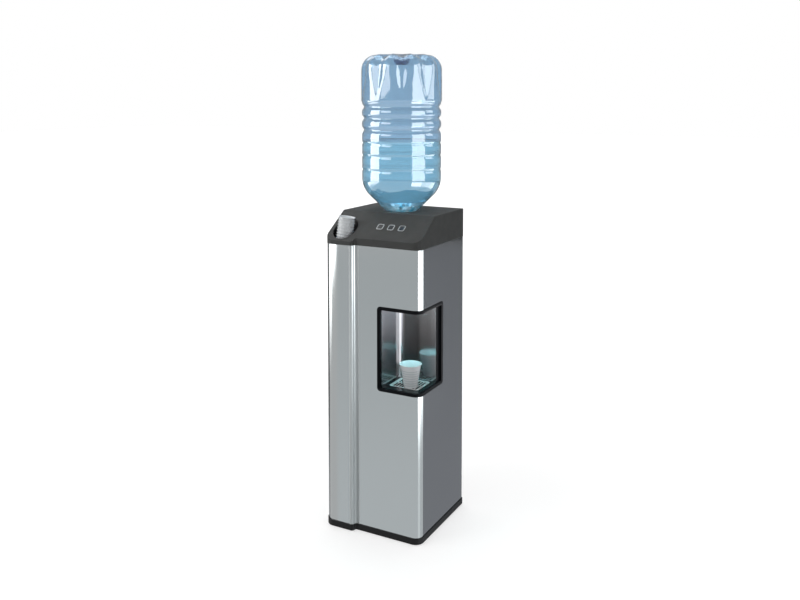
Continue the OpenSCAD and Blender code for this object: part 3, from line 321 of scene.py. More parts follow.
def shell_points(settings, columns=220):
    """Outer grid pushed in by the flutes, joined at the mouth to the same grid set in by the wall."""
    radius, height, out_r, out_z = bottle_profile(settings)
    depth = flute_depth(radius, height, columns, settings) + cone_ribs(height, columns, settings)
    outer = revolve(radius[:, None] - depth * out_r[:, None],
                    height[:, None] - depth * out_z[:, None], columns)
    inset = settings.wall
    inner = revolve(radius[:, None] - (depth + inset) * out_r[:, None],
                    height[:, None] - (depth + inset) * out_z[:, None], columns)
    inner[-4:, :, 2] = outer[-4:, :, 2]
    inner[0, :, :2] = outer[0, :, :2]
    grid = np.concatenate([outer, inner[::-1]])
    grid[..., 1] += (BOTTLE_LOW.y + BOTTLE_HIGH.y) / 2
    return grid


def water_points(settings, columns=160):
    """Water body: a flat top whose edge climbs the wall a little, then the bottle's inner profile to the neck."""
    radius, height, out_r, out_z = bottle_profile(settings)
    level = COVER_HIGH.z + settings.water_level
    gap = settings.wall + 0.35 * MM
    keep = (height < level - 2 * MM) & (height > BOTTLE_LOW.z + 26 * MM)
    side_r, side_z = (radius - gap * out_r)[keep], (height - gap * out_z)[keep]
    edge = side_r[0]
    flat_r = np.concatenate([[1 * MM], np.linspace(20 * MM, edge - 5 * MM, 6),
                             edge - np.array([3, 1.4, 0.4, 0]) * MM])
    flat_z = level + 1.6 * MM * np.exp(-(edge - flat_r) / (1.6 * MM))
    grid = revolve(np.concatenate([flat_r, side_r, [side_r[-1] * 0.5, 1 * MM]]),
                   np.concatenate([flat_z, side_z, [side_z[-1], side_z[-1]]]), columns)
    grid[..., 1] += (BOTTLE_LOW.y + BOTTLE_HIGH.y) / 2
    return grid


def cup_points(rim, foot, height, settings, ribs_apart, columns=72):
    """A cup of revolution: a taper with fine ribs below a smooth collar, a rolled rim and a thin wall. Also
    gives, per point, the share of painted shade that darkens the ribs' valleys.
    """
    top = height - 2 * settings.bead
    level = np.linspace(1.2 * MM, top, 44)
    taper = foot + (rim - 2 * settings.bead + settings.wall - foot) * level / height
    collar = height - settings.band
    fade = ease(level, 2 * MM, 5 * MM) * (1 - ease(level, collar - 3 * MM, collar))
    wave = np.abs(np.sin(np.pi * level / ribs_apart))
    outer_r = taper - settings.rib_depth * fade * (1 - wave)
    bead_r, bead_z = arc((rim - settings.bead, height - settings.bead), settings.bead, -60, 190, 14)
    radius = np.concatenate([[1 * MM, foot - 3 * MM, foot - 0.6 * MM], outer_r, bead_r,
                             outer_r[::-1] - settings.wall, [foot - 3 * MM, 1 * MM]])
    floor = settings.wall + 1.2 * MM
    rise = np.concatenate([[1.2 * MM, 1.2 * MM, 0], level, bead_z, np.maximum(level[::-1], floor),
                           [floor, floor]])
    # Painted shade: the ribs' valleys get a share of darkening in the colour, where shade falls between the ribs
    valley = fade * (1 - wave ** 2)
    shade = np.concatenate([np.zeros(3), valley, np.zeros(len(bead_r)), valley[::-1], np.zeros(2)])
    return revolve(radius, rise, columns), np.repeat(shade, columns)


def lean_in_tube(points, down, settings):
    """Sets a cup into the leaning stack: down its axis, tilted, turned to its heading and moved to the tube."""
    top = TUBE_TOP - settings.rim * math.sin(settings.lean)
    drop = points - [0, 0, settings.height + down]
    tilt, turn = settings.lean, settings.lean_to
    x = drop[..., 0] * math.cos(tilt) + drop[..., 2] * math.sin(tilt) + settings.shift
    z = drop[..., 2] * math.cos(tilt) - drop[..., 0] * math.sin(tilt)
    y = drop[..., 1]
    middle = (TUBE_LOW + TUBE_HIGH) / 2
    return np.stack([middle.x + x * math.cos(turn) - y * math.sin(turn),
                     middle.y + x * math.sin(turn) + y * math.cos(turn), top + z], -1)


def coil_points(radius, wire, low, high, turns, middle):
    """A coil of round wire: the line (R cos t, R sin t, p t) with a circle of the wire's radius round it."""
    t = np.linspace(0, 2 * np.pi * turns, 28 * turns + 1)[:, None]
    s = np.linspace(0, 2 * np.pi, 8, endpoint=False)[None, :]
    away = radius + wire * np.cos(s)
    up = low + wire + (high - low - 2 * wire) * t / t.max() + wire * np.sin(s)
    return np.stack([middle.x + away * np.cos(t), middle.y + away * np.sin(t), up], -1)


def drop_mark(size):
    """Outline of a water drop in its own plane: a circle of unit radius whose upper half is drawn to a point."""
    angle = np.linspace(0, 2 * np.pi, 40, endpoint=False)
    draw = 1 + 0.9 * np.maximum(np.sin(angle), 0) ** 3
    return size * np.stack([np.cos(angle) * (1 - 0.35 * np.maximum(np.sin(angle), 0)), np.sin(angle) * draw], -1)


def ribbon(outline, width, thick):
    """A closed raised line: the outline and its copy drawn in by the width, each at a low and a high level."""
    inner = outline * (1 - width / np.abs(outline).max())
    rows = [(outline, 0), (outline, thick), (inner, thick), (inner, 0)]
    grid = np.stack([np.concatenate([flat, np.full((len(flat), 1), level)], -1) for flat, level in rows])
    count = len(outline)
    here = np.arange(count)
    after = (here + 1) % count
    faces = [[(i * count) + a, (i * count) + b, ((i + 1) % 4) * count + b, ((i + 1) % 4) * count + a]
             for i in range(4) for a, b in zip(here.tolist(), after.tolist())]
    return grid, faces


# Node trees

class Graph:
    """Adds shader nodes to a tree and feeds their sockets with values or with other nodes' outputs."""

    def __init__(self, tree, material=None):
        self.tree = tree
        self.material = material

    def feed(self, socket, value):
        if isinstance(value, bpy.types.NodeSocket):
            self.tree.links.new(value, socket)
        else:
            socket.default_value = value

    def add(self, kind, sockets=None, **settings):
        made = self.tree.nodes.new("ShaderNode" + kind)
        for key, value in settings.items():
            setattr(made, key, value)
        for key, value in (sockets or {}).items():
            self.feed(made.inputs[key], value)
        return made

    def maths(self, operation, *values):
        return self.add("Math", dict(enumerate(values)), operation=operation).outputs[0]

    def noise(self, vector, scale, detail=3.0, roughness=0.5):
        sockets = {"Vector": vector, "Scale": scale, "Detail": detail, "Roughness": roughness}
        return self.add("TexNoise", sockets).outputs["Fac"]

    def blend(self, share, first, second):
        mix = self.add("Mix", {0: share, 6: first, 7: second}, data_type="RGBA")
        return mix.outputs[2]

    def spread(self, value, low, high, start=0.0, stop=1.0, kind="LINEAR"):
        """What runs from low to high while the value runs from start to stop."""
        sockets = {"Value": value, "From Min": start, "From Max": stop, "To Min": low, "To Max": high}
        return self.add("MapRange", sockets, interpolation_type=kind).outputs[0]

    def place(self):
        """Object coordinates."""
        return self.add("TexCoord").outputs["Object"]

    def apart(self, vector):
        """The three parts of a vector."""
        return self.add("SeparateXYZ", {0: vector}).outputs

    def set(self, name, value):
        """Feeds a socket of the material's Principled BSDF."""
        self.feed(self.tree.nodes["Principled BSDF"].inputs[name], value)

    def gloss(self, base, spread, scale=14.0):
        """Roughness with handling marks."""
        return self.effect(handling_marks(), base=base, spread=spread, scale=scale).outputs["Roughness"]

    def tone(self, colour, dust=0.0, scale=30.0):
        """A colour that has settled unevenly."""
        return self.effect(settled_tone(), color=rgba(colour), dust=dust, scale=scale).outputs["Color"]

    def soft(self, radius):
        """Normal with its edges eased by a radius in millimetres."""
        return self.effect(eased_edge(), radius=radius * MM).outputs["Normal"]

    def effect(self, group, **sockets):
        made = self.add("Group")
        made.node_tree = group
        for key, value in sockets.items():
            self.feed(made.inputs[key.replace("_", " ").capitalize()], value)
        return made


def rgba(colour, share=1.0):
    """A colour, dimmed to a share of it, as the four numbers that a colour socket takes."""
    return (*(channel * share for channel in colour[:3]), 1.0)


def effect_group(name, inputs, outputs, fill):
    """A shader node group with named sockets, made once and filled by the given function."""
    if name in bpy.data.node_groups:
        return bpy.data.node_groups[name]
    tree = bpy.data.node_groups.new(name, "ShaderNodeTree")
    for label, kind, value in inputs:
        socket = tree.interface.new_socket(label, in_out="INPUT", socket_type="NodeSocket" + kind)
        socket.default_value = value
    for label, kind in outputs:
        tree.interface.new_socket(label, in_out="OUTPUT", socket_type="NodeSocket" + kind)
    start = tree.nodes.new("NodeGroupInput").outputs
    stop = tree.nodes.new("NodeGroupOutput").inputs
    graph = Graph(tree)
    for label, value in fill(graph, start).items():
        graph.feed(stop[label], value)
    return tree


def moulded_grain():
    """Fine leather-like grain of a moulded surface, as a height."""
    def fill(graph, start):
        place = graph.place()
        fine = graph.noise(place, start["Scale"], 2.0, 0.6)
        return {"Height": graph.spread(fine, 0.0, start["Depth"], 0.3, 0.7)}
    return effect_group("Moulded grain", [("Scale", "Float", 900.0), ("Depth", "Float", 1.0)],
                        [("Height", "Float")], fill)


def handling_marks():
    """Roughness that wanders slowly, with faint wiped patches."""
    def fill(graph, start):
        place = graph.place()
        broad = graph.noise(place, start["Scale"], 4.0, 0.65)
        return {"Roughness": graph.maths("ADD", start["Base"], graph.spread(
            broad, graph.maths("MULTIPLY", start["Spread"], -1.0), start["Spread"], 0.3, 0.7))}
    return effect_group("Handling marks", [("Base", "Float", 0.4), ("Spread", "Float", 0.05),
                                           ("Scale", "Float", 14.0)], [("Roughness", "Float")], fill)


def settled_tone():
    """A colour that varies a little, paler with fine dust on the faces that look up."""
    def fill(graph, start):
        place = graph.place()
        up = graph.apart(graph.add("NewGeometry").outputs["Normal"])["Z"]
        cloud = graph.noise(place, start["Scale"], 5.0, 0.6)
        shade = graph.add("HueSaturation", {"Value": graph.spread(cloud, 0.93, 1.07, 0.3, 0.7),
                                            "Color": start["Color"]}).outputs[0]
        facing = graph.spread(up, 0.0, start["Dust"], 0.3, 1.0)
        speck = graph.maths("MULTIPLY", facing, graph.spread(cloud, 0.3, 1.0, 0.35, 0.65))
        return {"Color": graph.blend(speck, shade, (0.42, 0.41, 0.39, 1.0))}
    return effect_group("Settled tone", [("Color", "Color", (0.5, 0.5, 0.5, 1.0)), ("Dust", "Float", 0.03),
                                         ("Scale", "Float", 30.0)], [("Color", "Color")], fill)


def drawn_streaks():
    """Streaks of a rolled or brushed metal along one direction, as a height and a mask."""
    def fill(graph, start):
        place = graph.place()
        stretched = graph.add("VectorMath", {0: place, 1: start["Stretch"]}, operation="MULTIPLY").outputs[0]
        lines = graph.noise(stretched, 1.0, 4.0, 0.7)
        return {"Height": lines, "Mask": graph.spread(lines, 0.0, 1.0, 0.3, 0.7)}
    return effect_group("Drawn streaks", [("Stretch", "Vector", (900.0, 900.0, 12.0))],
                        [("Height", "Float"), ("Mask", "Float")], fill)


def eased_edge():
    """Normal that rounds sharp edges by a small radius."""
    def fill(graph, start):
        return {"Normal": graph.add("Bevel", {"Radius": start["Radius"]}, samples=6).outputs[0]}
    return effect_group("Eased edge", [("Radius", "Float", 0.001)], [("Normal", "Vector")], fill)


def principled(name, **sockets):
    """The graph of a new material, with plain values on its Principled BSDF."""
    material = bpy.data.materials.new(name)
    material.use_nodes = True
    graph = Graph(material.node_tree, material)
    for key, value in sockets.items():
        graph.set(key.replace("_", " "), value)
    return graph


def bump(graph, height, distance, normal=None):
    """Normal of a surface whose height varies by the distance, in metres."""
    sockets = {"Height": height, "Distance": distance, "Strength": 1.0}
    if normal is not None:
        sockets["Normal"] = normal
    return graph.add("Bump", sockets).outputs[0]


# Finishes

def moulded(name, colour, roughness=0.42, grain=0.03, scale=900.0, edge=0.8, dust=0.02, spread=0.05, sheen=0.5):
    """Moulded plastic: grain in the bump, wandering gloss, eased edges and a trace of dust."""
    graph = principled(name, Specular_IOR_Level=sheen)
    graph.set("Base Color", graph.tone(colour, dust))
    graph.set("Roughness", graph.gloss(roughness, spread))
    height = graph.effect(moulded_grain(), scale=scale).outputs["Height"]
    graph.set("Normal", bump(graph, height, grain * MM, graph.soft(edge)))
    return graph.material


def rolled(name, colour, roughness=0.3, stretch=(900.0, 900.0, 12.0), depth=0.004, contrast=0.12, edge=0.4,
           metal=1.0):
    """Bare metal: streaks along the direction it was drawn in, in its shade, its gloss and its bump."""
    graph = principled(name, Metallic=metal)
    streaks = graph.effect(drawn_streaks(), stretch=stretch)
    mask = streaks.outputs["Mask"]
    graph.set("Base Color", graph.blend(mask, rgba(colour, 1 - contrast), rgba(colour)))
    graph.set("Roughness", graph.maths("MULTIPLY_ADD", mask, 0.05, graph.gloss(roughness, 0.04)))
    graph.set("Normal", bump(graph, streaks.outputs["Height"], depth * MM, graph.soft(edge)))
    return graph.material


def bent_sheet():
    """Height of a folded sheet that bows a little beside its bends, at the left of the front and the front of the
    sides, and a mask of its narrow fold beside the column."""
    def fill(graph, start):
        x, y, z = graph.apart(graph.place())
        bows = [graph.spread(along, 0.0, rise, low, high, "SMOOTHSTEP")
                for along, low, high, rise in ((x, -0.190, -0.112, 0.007), (y, -0.180, -0.120, 0.0007))]
        ends = [graph.spread(x, 0.0, 1.0, low, high, "SMOOTHSTEP")
                for low, high in ((-0.080, -0.074), (-0.053, -0.046))]
        duller = graph.spread(z, 0.19, 0.62, 0.88, 0.34)
        fold = graph.maths("MULTIPLY", graph.maths("SUBTRACT", *ends), duller)
        return {"Height": graph.maths("ADD", *bows), "Fold": fold}
    return effect_group("Bent sheet", [], [("Height", "Float"), ("Fold", "Float")], fill)


def lacquered_sheet(name, colour):
    """Silver lacquer on steel sheet: metal flakes under a thin clear coat, with a faint orange-peel."""
    graph = principled(name, Metallic=1.0, Coat_Weight=0.12, Coat_Roughness=0.05)
    place = graph.place()
    flakes = graph.add("TexVoronoi", {"Vector": place, "Scale": 1600.0}).outputs["Color"]
    glint = graph.add("SeparateColor", {0: flakes}).outputs[0]
    shade = graph.add("HueSaturation", {"Value": graph.spread(glint, 0.95, 1.05), "Color": rgba(colour)})
    graph.set("Base Color", shade.outputs[0])
    bent = graph.effect(bent_sheet()).outputs
    graph.set("Roughness", graph.maths("ADD", bent["Fold"], graph.gloss(0.13, 0.01, 5.0)))
    bowed = bump(graph, bent["Height"], 1.0, graph.soft(0.8))
    graph.set("Normal", bump(graph, graph.noise(place, 260.0, 2.0), 0.006 * MM, bowed))
    return graph.material


def galvanised(name, colour):
    """Zinc-coated sheet: crystals of varied shade and gloss."""
    graph = principled(name, Metallic=0.9)
    place = graph.place()
    waver = graph.add("TexNoise", {"Vector": place, "Scale": 60.0}).outputs["Color"]
    wander = graph.add("VectorMath", {0: waver, 1: (0.02, 0.02, 0.02), 2: place}, operation="MULTIPLY_ADD")
    crystal = graph.add("TexVoronoi", {"Vector": wander.outputs[0], "Scale": 90.0}).outputs["Color"]
    shade = graph.add("SeparateColor", {0: crystal}).outputs[0]
    graph.set("Base Color", graph.blend(shade, rgba(colour, 0.72), rgba(colour)))
    graph.set("Roughness", graph.spread(shade, 0.32, 0.5))
    graph.set("Normal", graph.soft(0.4))
    return graph.material


def foamed(name, colour):
    """Sprayed insulating foam: swollen cells of two sizes, pitted and unevenly yellowed."""
    graph = principled(name, Roughness=0.85)
    place = graph.place()
    cells = graph.add("TexVoronoi", {"Vector": place, "Scale": 140.0}, feature="SMOOTH_F1").outputs["Distance"]
    lumps = graph.noise(place, 22.0, 3.0)
    yellowed = graph.spread(lumps, 0.0, 0.5, 0.4, 0.8)
    graph.set("Base Color", graph.blend(yellowed, graph.tone(colour, 0.0, 12.0), (0.62, 0.50, 0.28, 1.0)))
    height = graph.maths("ADD", cells, graph.maths("MULTIPLY", lumps, 2.0))
    graph.set("Normal", bump(graph, height, 0.8 * MM))
    return graph.material


def circuit_board(name, colour):
    """Green lacquered board with paler tracks that run along and across it."""
    graph = principled(name, Roughness=0.35, Coat_Weight=0.4)
    place = graph.place()
    tracks = graph.add("TexBrick", {"Vector": place, "Scale": 90.0, "Mortar Size": 0.08, "Color1": rgba(colour),
                                    "Color2": rgba(colour, 0.8),
                                    "Mortar": (0.10, 0.30, 0.12, 1.0)})
    graph.set("Base Color", tracks.outputs["Color"])
    graph.set("Normal", bump(graph, tracks.outputs["Fac"], 0.05 * MM))
    return graph.material


def clear_plastic(name, colour, roughness, ior=1.46):
    """Clear moulded plastic or hose: faint haze in its gloss, with light let through to what is inside."""
    graph = principled(name, Transmission_Weight=1.0, IOR=ior)
    graph.set("Base Color", graph.tone(colour, 0.0))
    graph.set("Roughness", graph.gloss(roughness, 0.02))
    let_light_through(graph)
    return graph.material


def let_light_through(graph):
    """Lets shadow rays pass most of the way, as thin clear plastic and water do."""
    shadow = graph.add("LightPath").outputs["Is Shadow Ray"]
    graph.set("Alpha", graph.maths("MULTIPLY_ADD", shadow, -0.8, 1.0))


def cast_foot(graph, height):
    """1 at the cone's cast foot and 0 above it."""
    return graph.spread(height, 1.0, 0.0, COVER_HIGH.z + CAST_FROM * MM, COVER_HIGH.z + CAST_TO * MM)


def bottle_plastic(settings):
    """Blue-tinted bottle wall: paler face on, deeper where it is thick or seen along, with mould lines in it and
    painted glints, white and teal patches, at the cone's cast foot.
    """
    graph = principled("bottle_blue", Transmission_Weight=1.0, IOR=1.3, Coat_Weight=1.0,
                                         Coat_IOR=1.8, Coat_Roughness=0.04)
    gauge = graph.add("Attribute", attribute_name="gauge").outputs["Fac"]
    along = graph.add("LayerWeight", {"Blend": 0.35}).outputs["Facing"]
    place = graph.place()
    height = graph.apart(place)["Z"]
    level = COVER_HIGH.z + settings.water_level
    dry = graph.spread(height, 0.0, 1.0, level - 1 * MM, level + 1 * MM)
    share = graph.spread(along, 0.0, 0.85, 0.35, 1.0)
    wall = graph.blend(dry, graph.blend(share, rgba(settings.wet), rgba(settings.wet_deep)),
                       graph.blend(share, rgba(settings.pale), rgba(settings.deep)))
    foot = cast_foot(graph, height)
    # Painted glints: white and teal patches in the colour at the cone's cast foot, standing in for light caught
    # in its facets
    cells = graph.spread(graph.noise(place, 62.0, 1.0), 0.0, 1.0, 0.40, 0.52)
    painted_glints = graph.blend(cells, rgba((0.06, 0.40, 0.50)), rgba(WHITE))
    wall = graph.blend(foot, wall, painted_glints)
    graph.set("Base Color", graph.blend(gauge, wall, rgba(settings.navy)))
    graph.set("Roughness", graph.gloss(0.03, 0.02, 20.0))
    ribbed = graph.maths("MULTIPLY", graph.noise(place, 55.0, 2.0), foot)
    rough = bump(graph, ribbed, 14.0 * MM)
    graph.set("Normal", bump(graph, graph.noise(place, 30.0, 3.0), 1.0 * MM, rough))
    let_light_through(graph)
    return graph.material


def bottle_water(settings):
    """Water: smooth, faintly blue-green, with a few slow ripples of the light in it."""
    graph = principled("bottle_water", Transmission_Weight=1.0, IOR=1.33, Roughness=0.0)
    place = graph.place()
    cloud = graph.noise(place, 9.0, 2.0)
    graph.set("Base Color", graph.blend(cloud, rgba(settings.water, 0.94), rgba(settings.water)))
    ripple = graph.maths("MULTIPLY", graph.noise(place, 55.0, 2.0), cast_foot(graph, graph.apart(place)["Z"]))
    graph.set("Normal", bump(graph, ripple, 16.0 * MM))
    let_light_through(graph)
    return graph.material


def cup_plastic(settings):
    """Thin white cup plastic that lets some light through, with painted shade darkening the ribs' valleys towards
    grey.
    """
    graph = principled("cup_white", Transmission_Weight=0.05, IOR=1.45)
    # Painted shade: the valley numbers darken the colour towards grey-teal in the ribs' valleys
    valley = graph.add("Attribute", attribute_name="valley").outputs["Fac"]
    thick = graph.maths("MULTIPLY", valley, 0.55)
    graph.set("Base Color", graph.blend(thick, graph.tone(settings.white, 0.0, 8.0), rgba((0.42, 0.50, 0.52))))
    graph.set("Roughness", graph.gloss(0.32, 0.05, 40.0))
    graph.set("Normal", bump(graph, graph.noise(graph.place(), 300.0, 2.0), 0.02 * MM))
    return graph.material


def by_slot(*materials):
    """The materials by their slots: their names without the number that a name already in use gets."""
    return {material.name.split(".")[0]: material for material in materials}


def cabinet_finishes(settings):
    """Finishes of the cabinet's outside, by material slot."""
    return by_slot(
        lacquered_sheet("casing_grey", settings.lacquer),
        moulded("cover_grey", settings.cover, 0.52, grain=0.02, scale=1100.0, edge=2.5, dust=0.004, sheen=0.06),
        moulded("base_black", (0.006, 0.0065, 0.007), 0.45, edge=1.5, dust=0.01, sheen=0.16),
        moulded("foot_rubber", (0.014, 0.014, 0.014), 0.8, grain=0.05, scale=500.0, dust=0.05),
        moulded("bezel_black", settings.trim, 0.38, grain=0.006, edge=1.2, dust=0.002, sheen=0.05),
        moulded("tray_black", (0.006, 0.014, 0.015), 0.22, grain=0.004, edge=0.8, dust=0.0, sheen=0.25),
        rolled("polished_steel", settings.steel, 0.13, (500.0, 500.0, 5.0), 0.0012, 0.1),
        rolled("grille_steel", (0.74, 0.77, 0.77), 0.30, (60.0, 900.0, 60.0), 0.004, 0.15, metal=0.35),
        moulded("nozzle_white", (0.70, 0.73, 0.74), 0.3, grain=0.005, dust=0.0),
        moulded("ring_pale", settings.ring, 0.35, grain=0.003, edge=0.2, dust=0.0),
        moulded("button_dark", (0.020, 0.021, 0.022), 0.30, grain=0.004, edge=0.4, dust=0.0),
        moulded("tube_black", (0.010, 0.010, 0.011), 0.5),
        moulded("funnel_black", (0.014, 0.015, 0.016), 0.35, grain=0.01),
        moulded("cap_blue", (0.04, 0.19, 0.46), 0.35, grain=0.01, dust=0.0),
        moulded("probe_white", (0.72, 0.74, 0.74), 0.4, dust=0.0),
        clear_plastic("lamp_clear", (0.86, 0.97, 0.98), 0.25),
    )


def inner_finishes():
    """Finishes of the cooling unit, the tanks and the rear, by material slot."""
    upright = (900.0, 900.0, 12.0)
    return by_slot(
        moulded("part_grey", (0.10, 0.11, 0.115), 0.5),
        moulded("valve_grey", (0.30, 0.31, 0.32), 0.45),
        moulded("lid_white", (0.72, 0.73, 0.72), 0.45),
        moulded("inlet_black", (0.015, 0.015, 0.016), 0.4, grain=0.01),
        moulded("rocker_red", (0.50, 0.02, 0.02), 0.3, grain=0.005),
        moulded("rocker_green", (0.02, 0.28, 0.07), 0.3, grain=0.005),
        moulded("loom_black", (0.018, 0.018, 0.020), 0.55, grain=0.2, scale=260.0),
        moulded("compressor_black", (0.016, 0.016, 0.018), 0.32, grain=0.01, dust=0.05),
        moulded("condenser_black", (0.016, 0.016, 0.017), 0.38, grain=0.01, dust=0.04),
        galvanised("zinc_sheet", (0.56, 0.58, 0.60)),
        galvanised("panel_zinc", (0.50, 0.52, 0.54)),
        rolled("tank_steel", (0.60, 0.61, 0.62), 0.22, (12.0, 12.0, 700.0), 0.003, 0.1),
        rolled("spring_steel", (0.52, 0.53, 0.55), 0.3, upright),
        rolled("heater_steel", (0.40, 0.38, 0.36), 0.35, upright, contrast=0.3),
        rolled("screw_steel", (0.58, 0.59, 0.60), 0.3, (300.0, 300.0, 300.0), contrast=0.2),
        rolled("copper", (0.72, 0.34, 0.20), 0.28, (120.0, 120.0, 120.0), contrast=0.35),
        foamed("foam_cream", (0.74, 0.70, 0.55)),
        circuit_board("board_green", (0.02, 0.16, 0.06)),
        clear_plastic("hose_clear", (0.90, 0.95, 0.96), 0.12),
    )


def dress(finishes):
    """Puts each finish on the frame's nodes whose record names its slot."""
    for part in frame["record"]["subparts"]:
        material = finishes.get(part["material_slot"])
        if material is None:
            continue
        node = bpy.data.objects[part["node"]]
        node.data.materials.clear()
        node.data.materials.append(material)


# Stage

def emitter(name, colour, strengths, heights, foot):
    """A glowing material for a card that only reflections see. Its strength changes between two heights, and its
    foot can have a colour of its own, given with the heights between which it gives way to the card's colour."""
    material = bpy.data.materials.new(name)
    material.use_nodes = True
    graph = Graph(material.node_tree)
    height = graph.apart(graph.place())["Z"]
    strength = graph.spread(height, *strengths, *heights, "SMOOTHSTEP")
    low_colour, *span = foot or (colour, 0.0, 1.0)
    shade = graph.blend(graph.spread(height, 0.0, 1.0, *span), rgba(low_colour), rgba(colour))
    glow = graph.add("Emission", {"Color": shade, "Strength": strength}).outputs[0]
    graph.feed(material.node_tree.nodes["Material Output"].inputs["Surface"], glow)
    return material


def card(name, points, colour, strengths, heights, foot=None):
    """A grid of points as a glowing card that is seen in reflections alone."""
    glow = emitter(name, colour, strengths, heights, foot)
    made = mesh_object(name, points, grid_faces(*points.shape[:2]), glow)
    made.visible_camera = made.visible_diffuse = False
    made.visible_transmission = made.visible_shadow = False


def round_card(name, start, stop, low, high, colour, strengths, heights=(-4.0, 4.0), rise=0.0, away=3.2):
    """An upright card on a circle round the object, from one azimuth to another. Its lower edge climbs by the
    rise as the power 1.6 of the way along it."""
    share = np.linspace(0, 1, 41)
    azimuth = np.radians(start + (stop - start) * share)
    foot = low + rise * share ** 1.6
    height = foot[None, :] + (high - foot)[None, :] * np.linspace(0, 1, 5)[:, None]
    wide = np.broadcast_to(azimuth, height.shape)
    points = np.stack([away * np.sin(wide), -away * np.cos(wide), height], -1)
    card(name, points, colour, strengths, heights)


def ceiling_card(name, middle, size, colour, strength):
    """A level card above the object."""
    x, y = np.meshgrid(np.linspace(-0.5, 0.5, 3) * size[0], np.linspace(-0.5, 0.5, 3) * size[1], indexing="ij")
    points = np.stack([x, y, np.zeros_like(x)], -1) + np.array(middle)
    card(name, points, colour, (strength, strength), (0.0, 1.0))


def opening_veil(name, corners, colour, strengths, heights, foot=None):
    """A thin upright veil along the niche's opening, through the given plan points: what its steel reflects."""
    low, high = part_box("niche_bezel")
    plan = np.array(corners)
    height = np.linspace(low.z + 9 * MM, high.z - 9 * MM, 5)
    points = np.stack([np.broadcast_to(plan[None, :, 0], (5, len(plan))),
                       np.broadcast_to(plan[None, :, 1], (5, len(plan))),
                       np.broadcast_to(height[:, None], (5, len(plan)))], -1)
    card(name, points, colour, strengths, heights, foot)


def veils():
    """The veils over the niche's two openings and the bend between them."""
    low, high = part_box("niche_bezel")
    front, side, bend = low.y - 2 * MM, high.x + 2 * MM, low.y + 42 * MM
    inner, outer = low.x + 0.38 * (high.x - low.x), low.x + 0.56 * (high.x - low.x)
    teal = ((0.30, 0.85, 0.85), low.z - 0.01, low.z + 0.075)
    upper = high.z - 0.04
    plan = ((low.x, front), (inner, front), (outer, front), (side, front), (side, bend), (side, high.y))
    rows = (("Left", (0.99, 0.97, 0.97), (0.12, 0.38), (low.z + 0.05, high.z), teal),
            ("Middle", (0.99, 0.97, 0.99), (0.12, 0.42), (low.z + 0.03, upper), teal),
            ("Right", LILAC, (0.15, 1.2), (low.z + 0.02, upper), teal),
            ("Bend", LILAC, (0.2, 1.5), (low.z + 0.02, upper), teal),
            ("Side", (0.96, 0.97, 1.0), (2.0, 2.6), (low.z, high.z), None))
    for (name, *looks), start, stop in zip(rows, plan, plan[1:]):
        opening_veil("Veil_" + name, [start, stop], *looks)


# Name, azimuths in degrees, lower and upper edge, colour and strengths at two heights; then those heights, the
# rise of the lower edge and the distance, where they differ from round_card's own
ROUND_CARDS = (
    ("Window_Left", (-76, -39), (0.64, 3.2), WHITE, (6.5, 6.5)),
    ("Window_Right", (59, 98), (0.64, 3.2), COOL, (5.2, 5.2)),
    ("Window_Upper", (-33, -3), (1.42, 3.2), WHITE, (3.6, 3.6), (-4.0, 4.0), 0.08),
    ("Window_Far", (104, 131), (1.37, 3.2), COOL, (3.4, 3.4), (-4.0, 4.0), 0.0, 3.1),
    ("Flag_Back", (101, 288), (0.67, 2.6), (0.86, 0.93, 1.0), (0.32, 0.32)),
    ("Card_Left", (-91, -40.5), (-0.75, 0.6), WHITE, (0.95, 5.0), (-0.55, 0.45), 1.15),
    ("Card_Front", (-40, 57), (-4.0, 0.43), COOL, (1.12, 0.94), (-1.4, 0.3)),
    ("Card_Right", (58, 90), (-4.0, 0.43), COOL, (1.5, 8.0), (-1.0, -0.45)),
    ("Card_Side", (90.5, 142), (-4.0, 0.40), COOL, (1.1, 4.4), (-1.0, -0.45)),
    ("Flag_Side", (143, 190), (-4.0, 0.43), LILAC, (0.40, 0.33), (-1.2, 0.3)),
    ("Window_Dim", (-38.5, 58), (0.64, 3.2), COOL, (0.4, 0.4), (-4.0, 4.0), 0.0, 3.3),
    ("Flag_Left", (190, 268), (-4.0, 0.43), (0.95, 0.97, 1.0), (0.5, 0.10), (-1.4, -0.5)),
    ("Flag_Cover", (101, 288), (0.435, 0.66), WHITE, (0.05, 0.05)),
)


def lamp(name, place, target, size, power, colour=WHITE):
    """A soft area lamp that lights matt surfaces and isn't seen in reflections."""
    data = bpy.data.lights.new(name, "AREA")
    data.shape = "RECTANGLE"
    data.size, data.size_y = size
    data.energy = power
    data.color = colour
    light = linked(name, data)
    light.location = place
    light.rotation_euler = (Vector(target) - Vector(place)).to_track_quat("-Z", "Y").to_euler()
    light.visible_glossy = False
    return light


def white_floor():
    """A wide pale grey floor. Rays from the camera and through glass get what its own colour lacks to white."""
    graph = principled("studio_floor", Roughness=0.9)
    place = graph.place()
    paper = graph.spread(graph.noise(place, 400.0, 2.0), 0.44, 0.46, 0.3, 0.7)
    graph.set("Base Color", graph.add("CombineColor", {0: paper, 1: paper, 2: paper}).outputs[0])
    graph.set("Emission Color", rgba(WHITE))
    path = graph.add("LightPath").outputs
    seen = graph.maths("MAXIMUM", path["Is Camera Ray"], path["Is Transmission Ray"])
    away = graph.add("VectorMath", {0: place}, operation="LENGTH").outputs["Value"]
    far = graph.spread(away, 0.62, 1.0, 0.6, 3.0)
    graph.set("Emission Strength", graph.maths("MULTIPLY", seen, far))
    across = np.linspace(-30, 30, 7)
    x, y = np.meshgrid(across, across, indexing="ij")
    points = np.stack([x, y, np.zeros_like(x)], -1)
    floor = mesh_object("Studio_Floor", points, grid_faces(*x.shape), graph.material)
    floor.visible_glossy = False


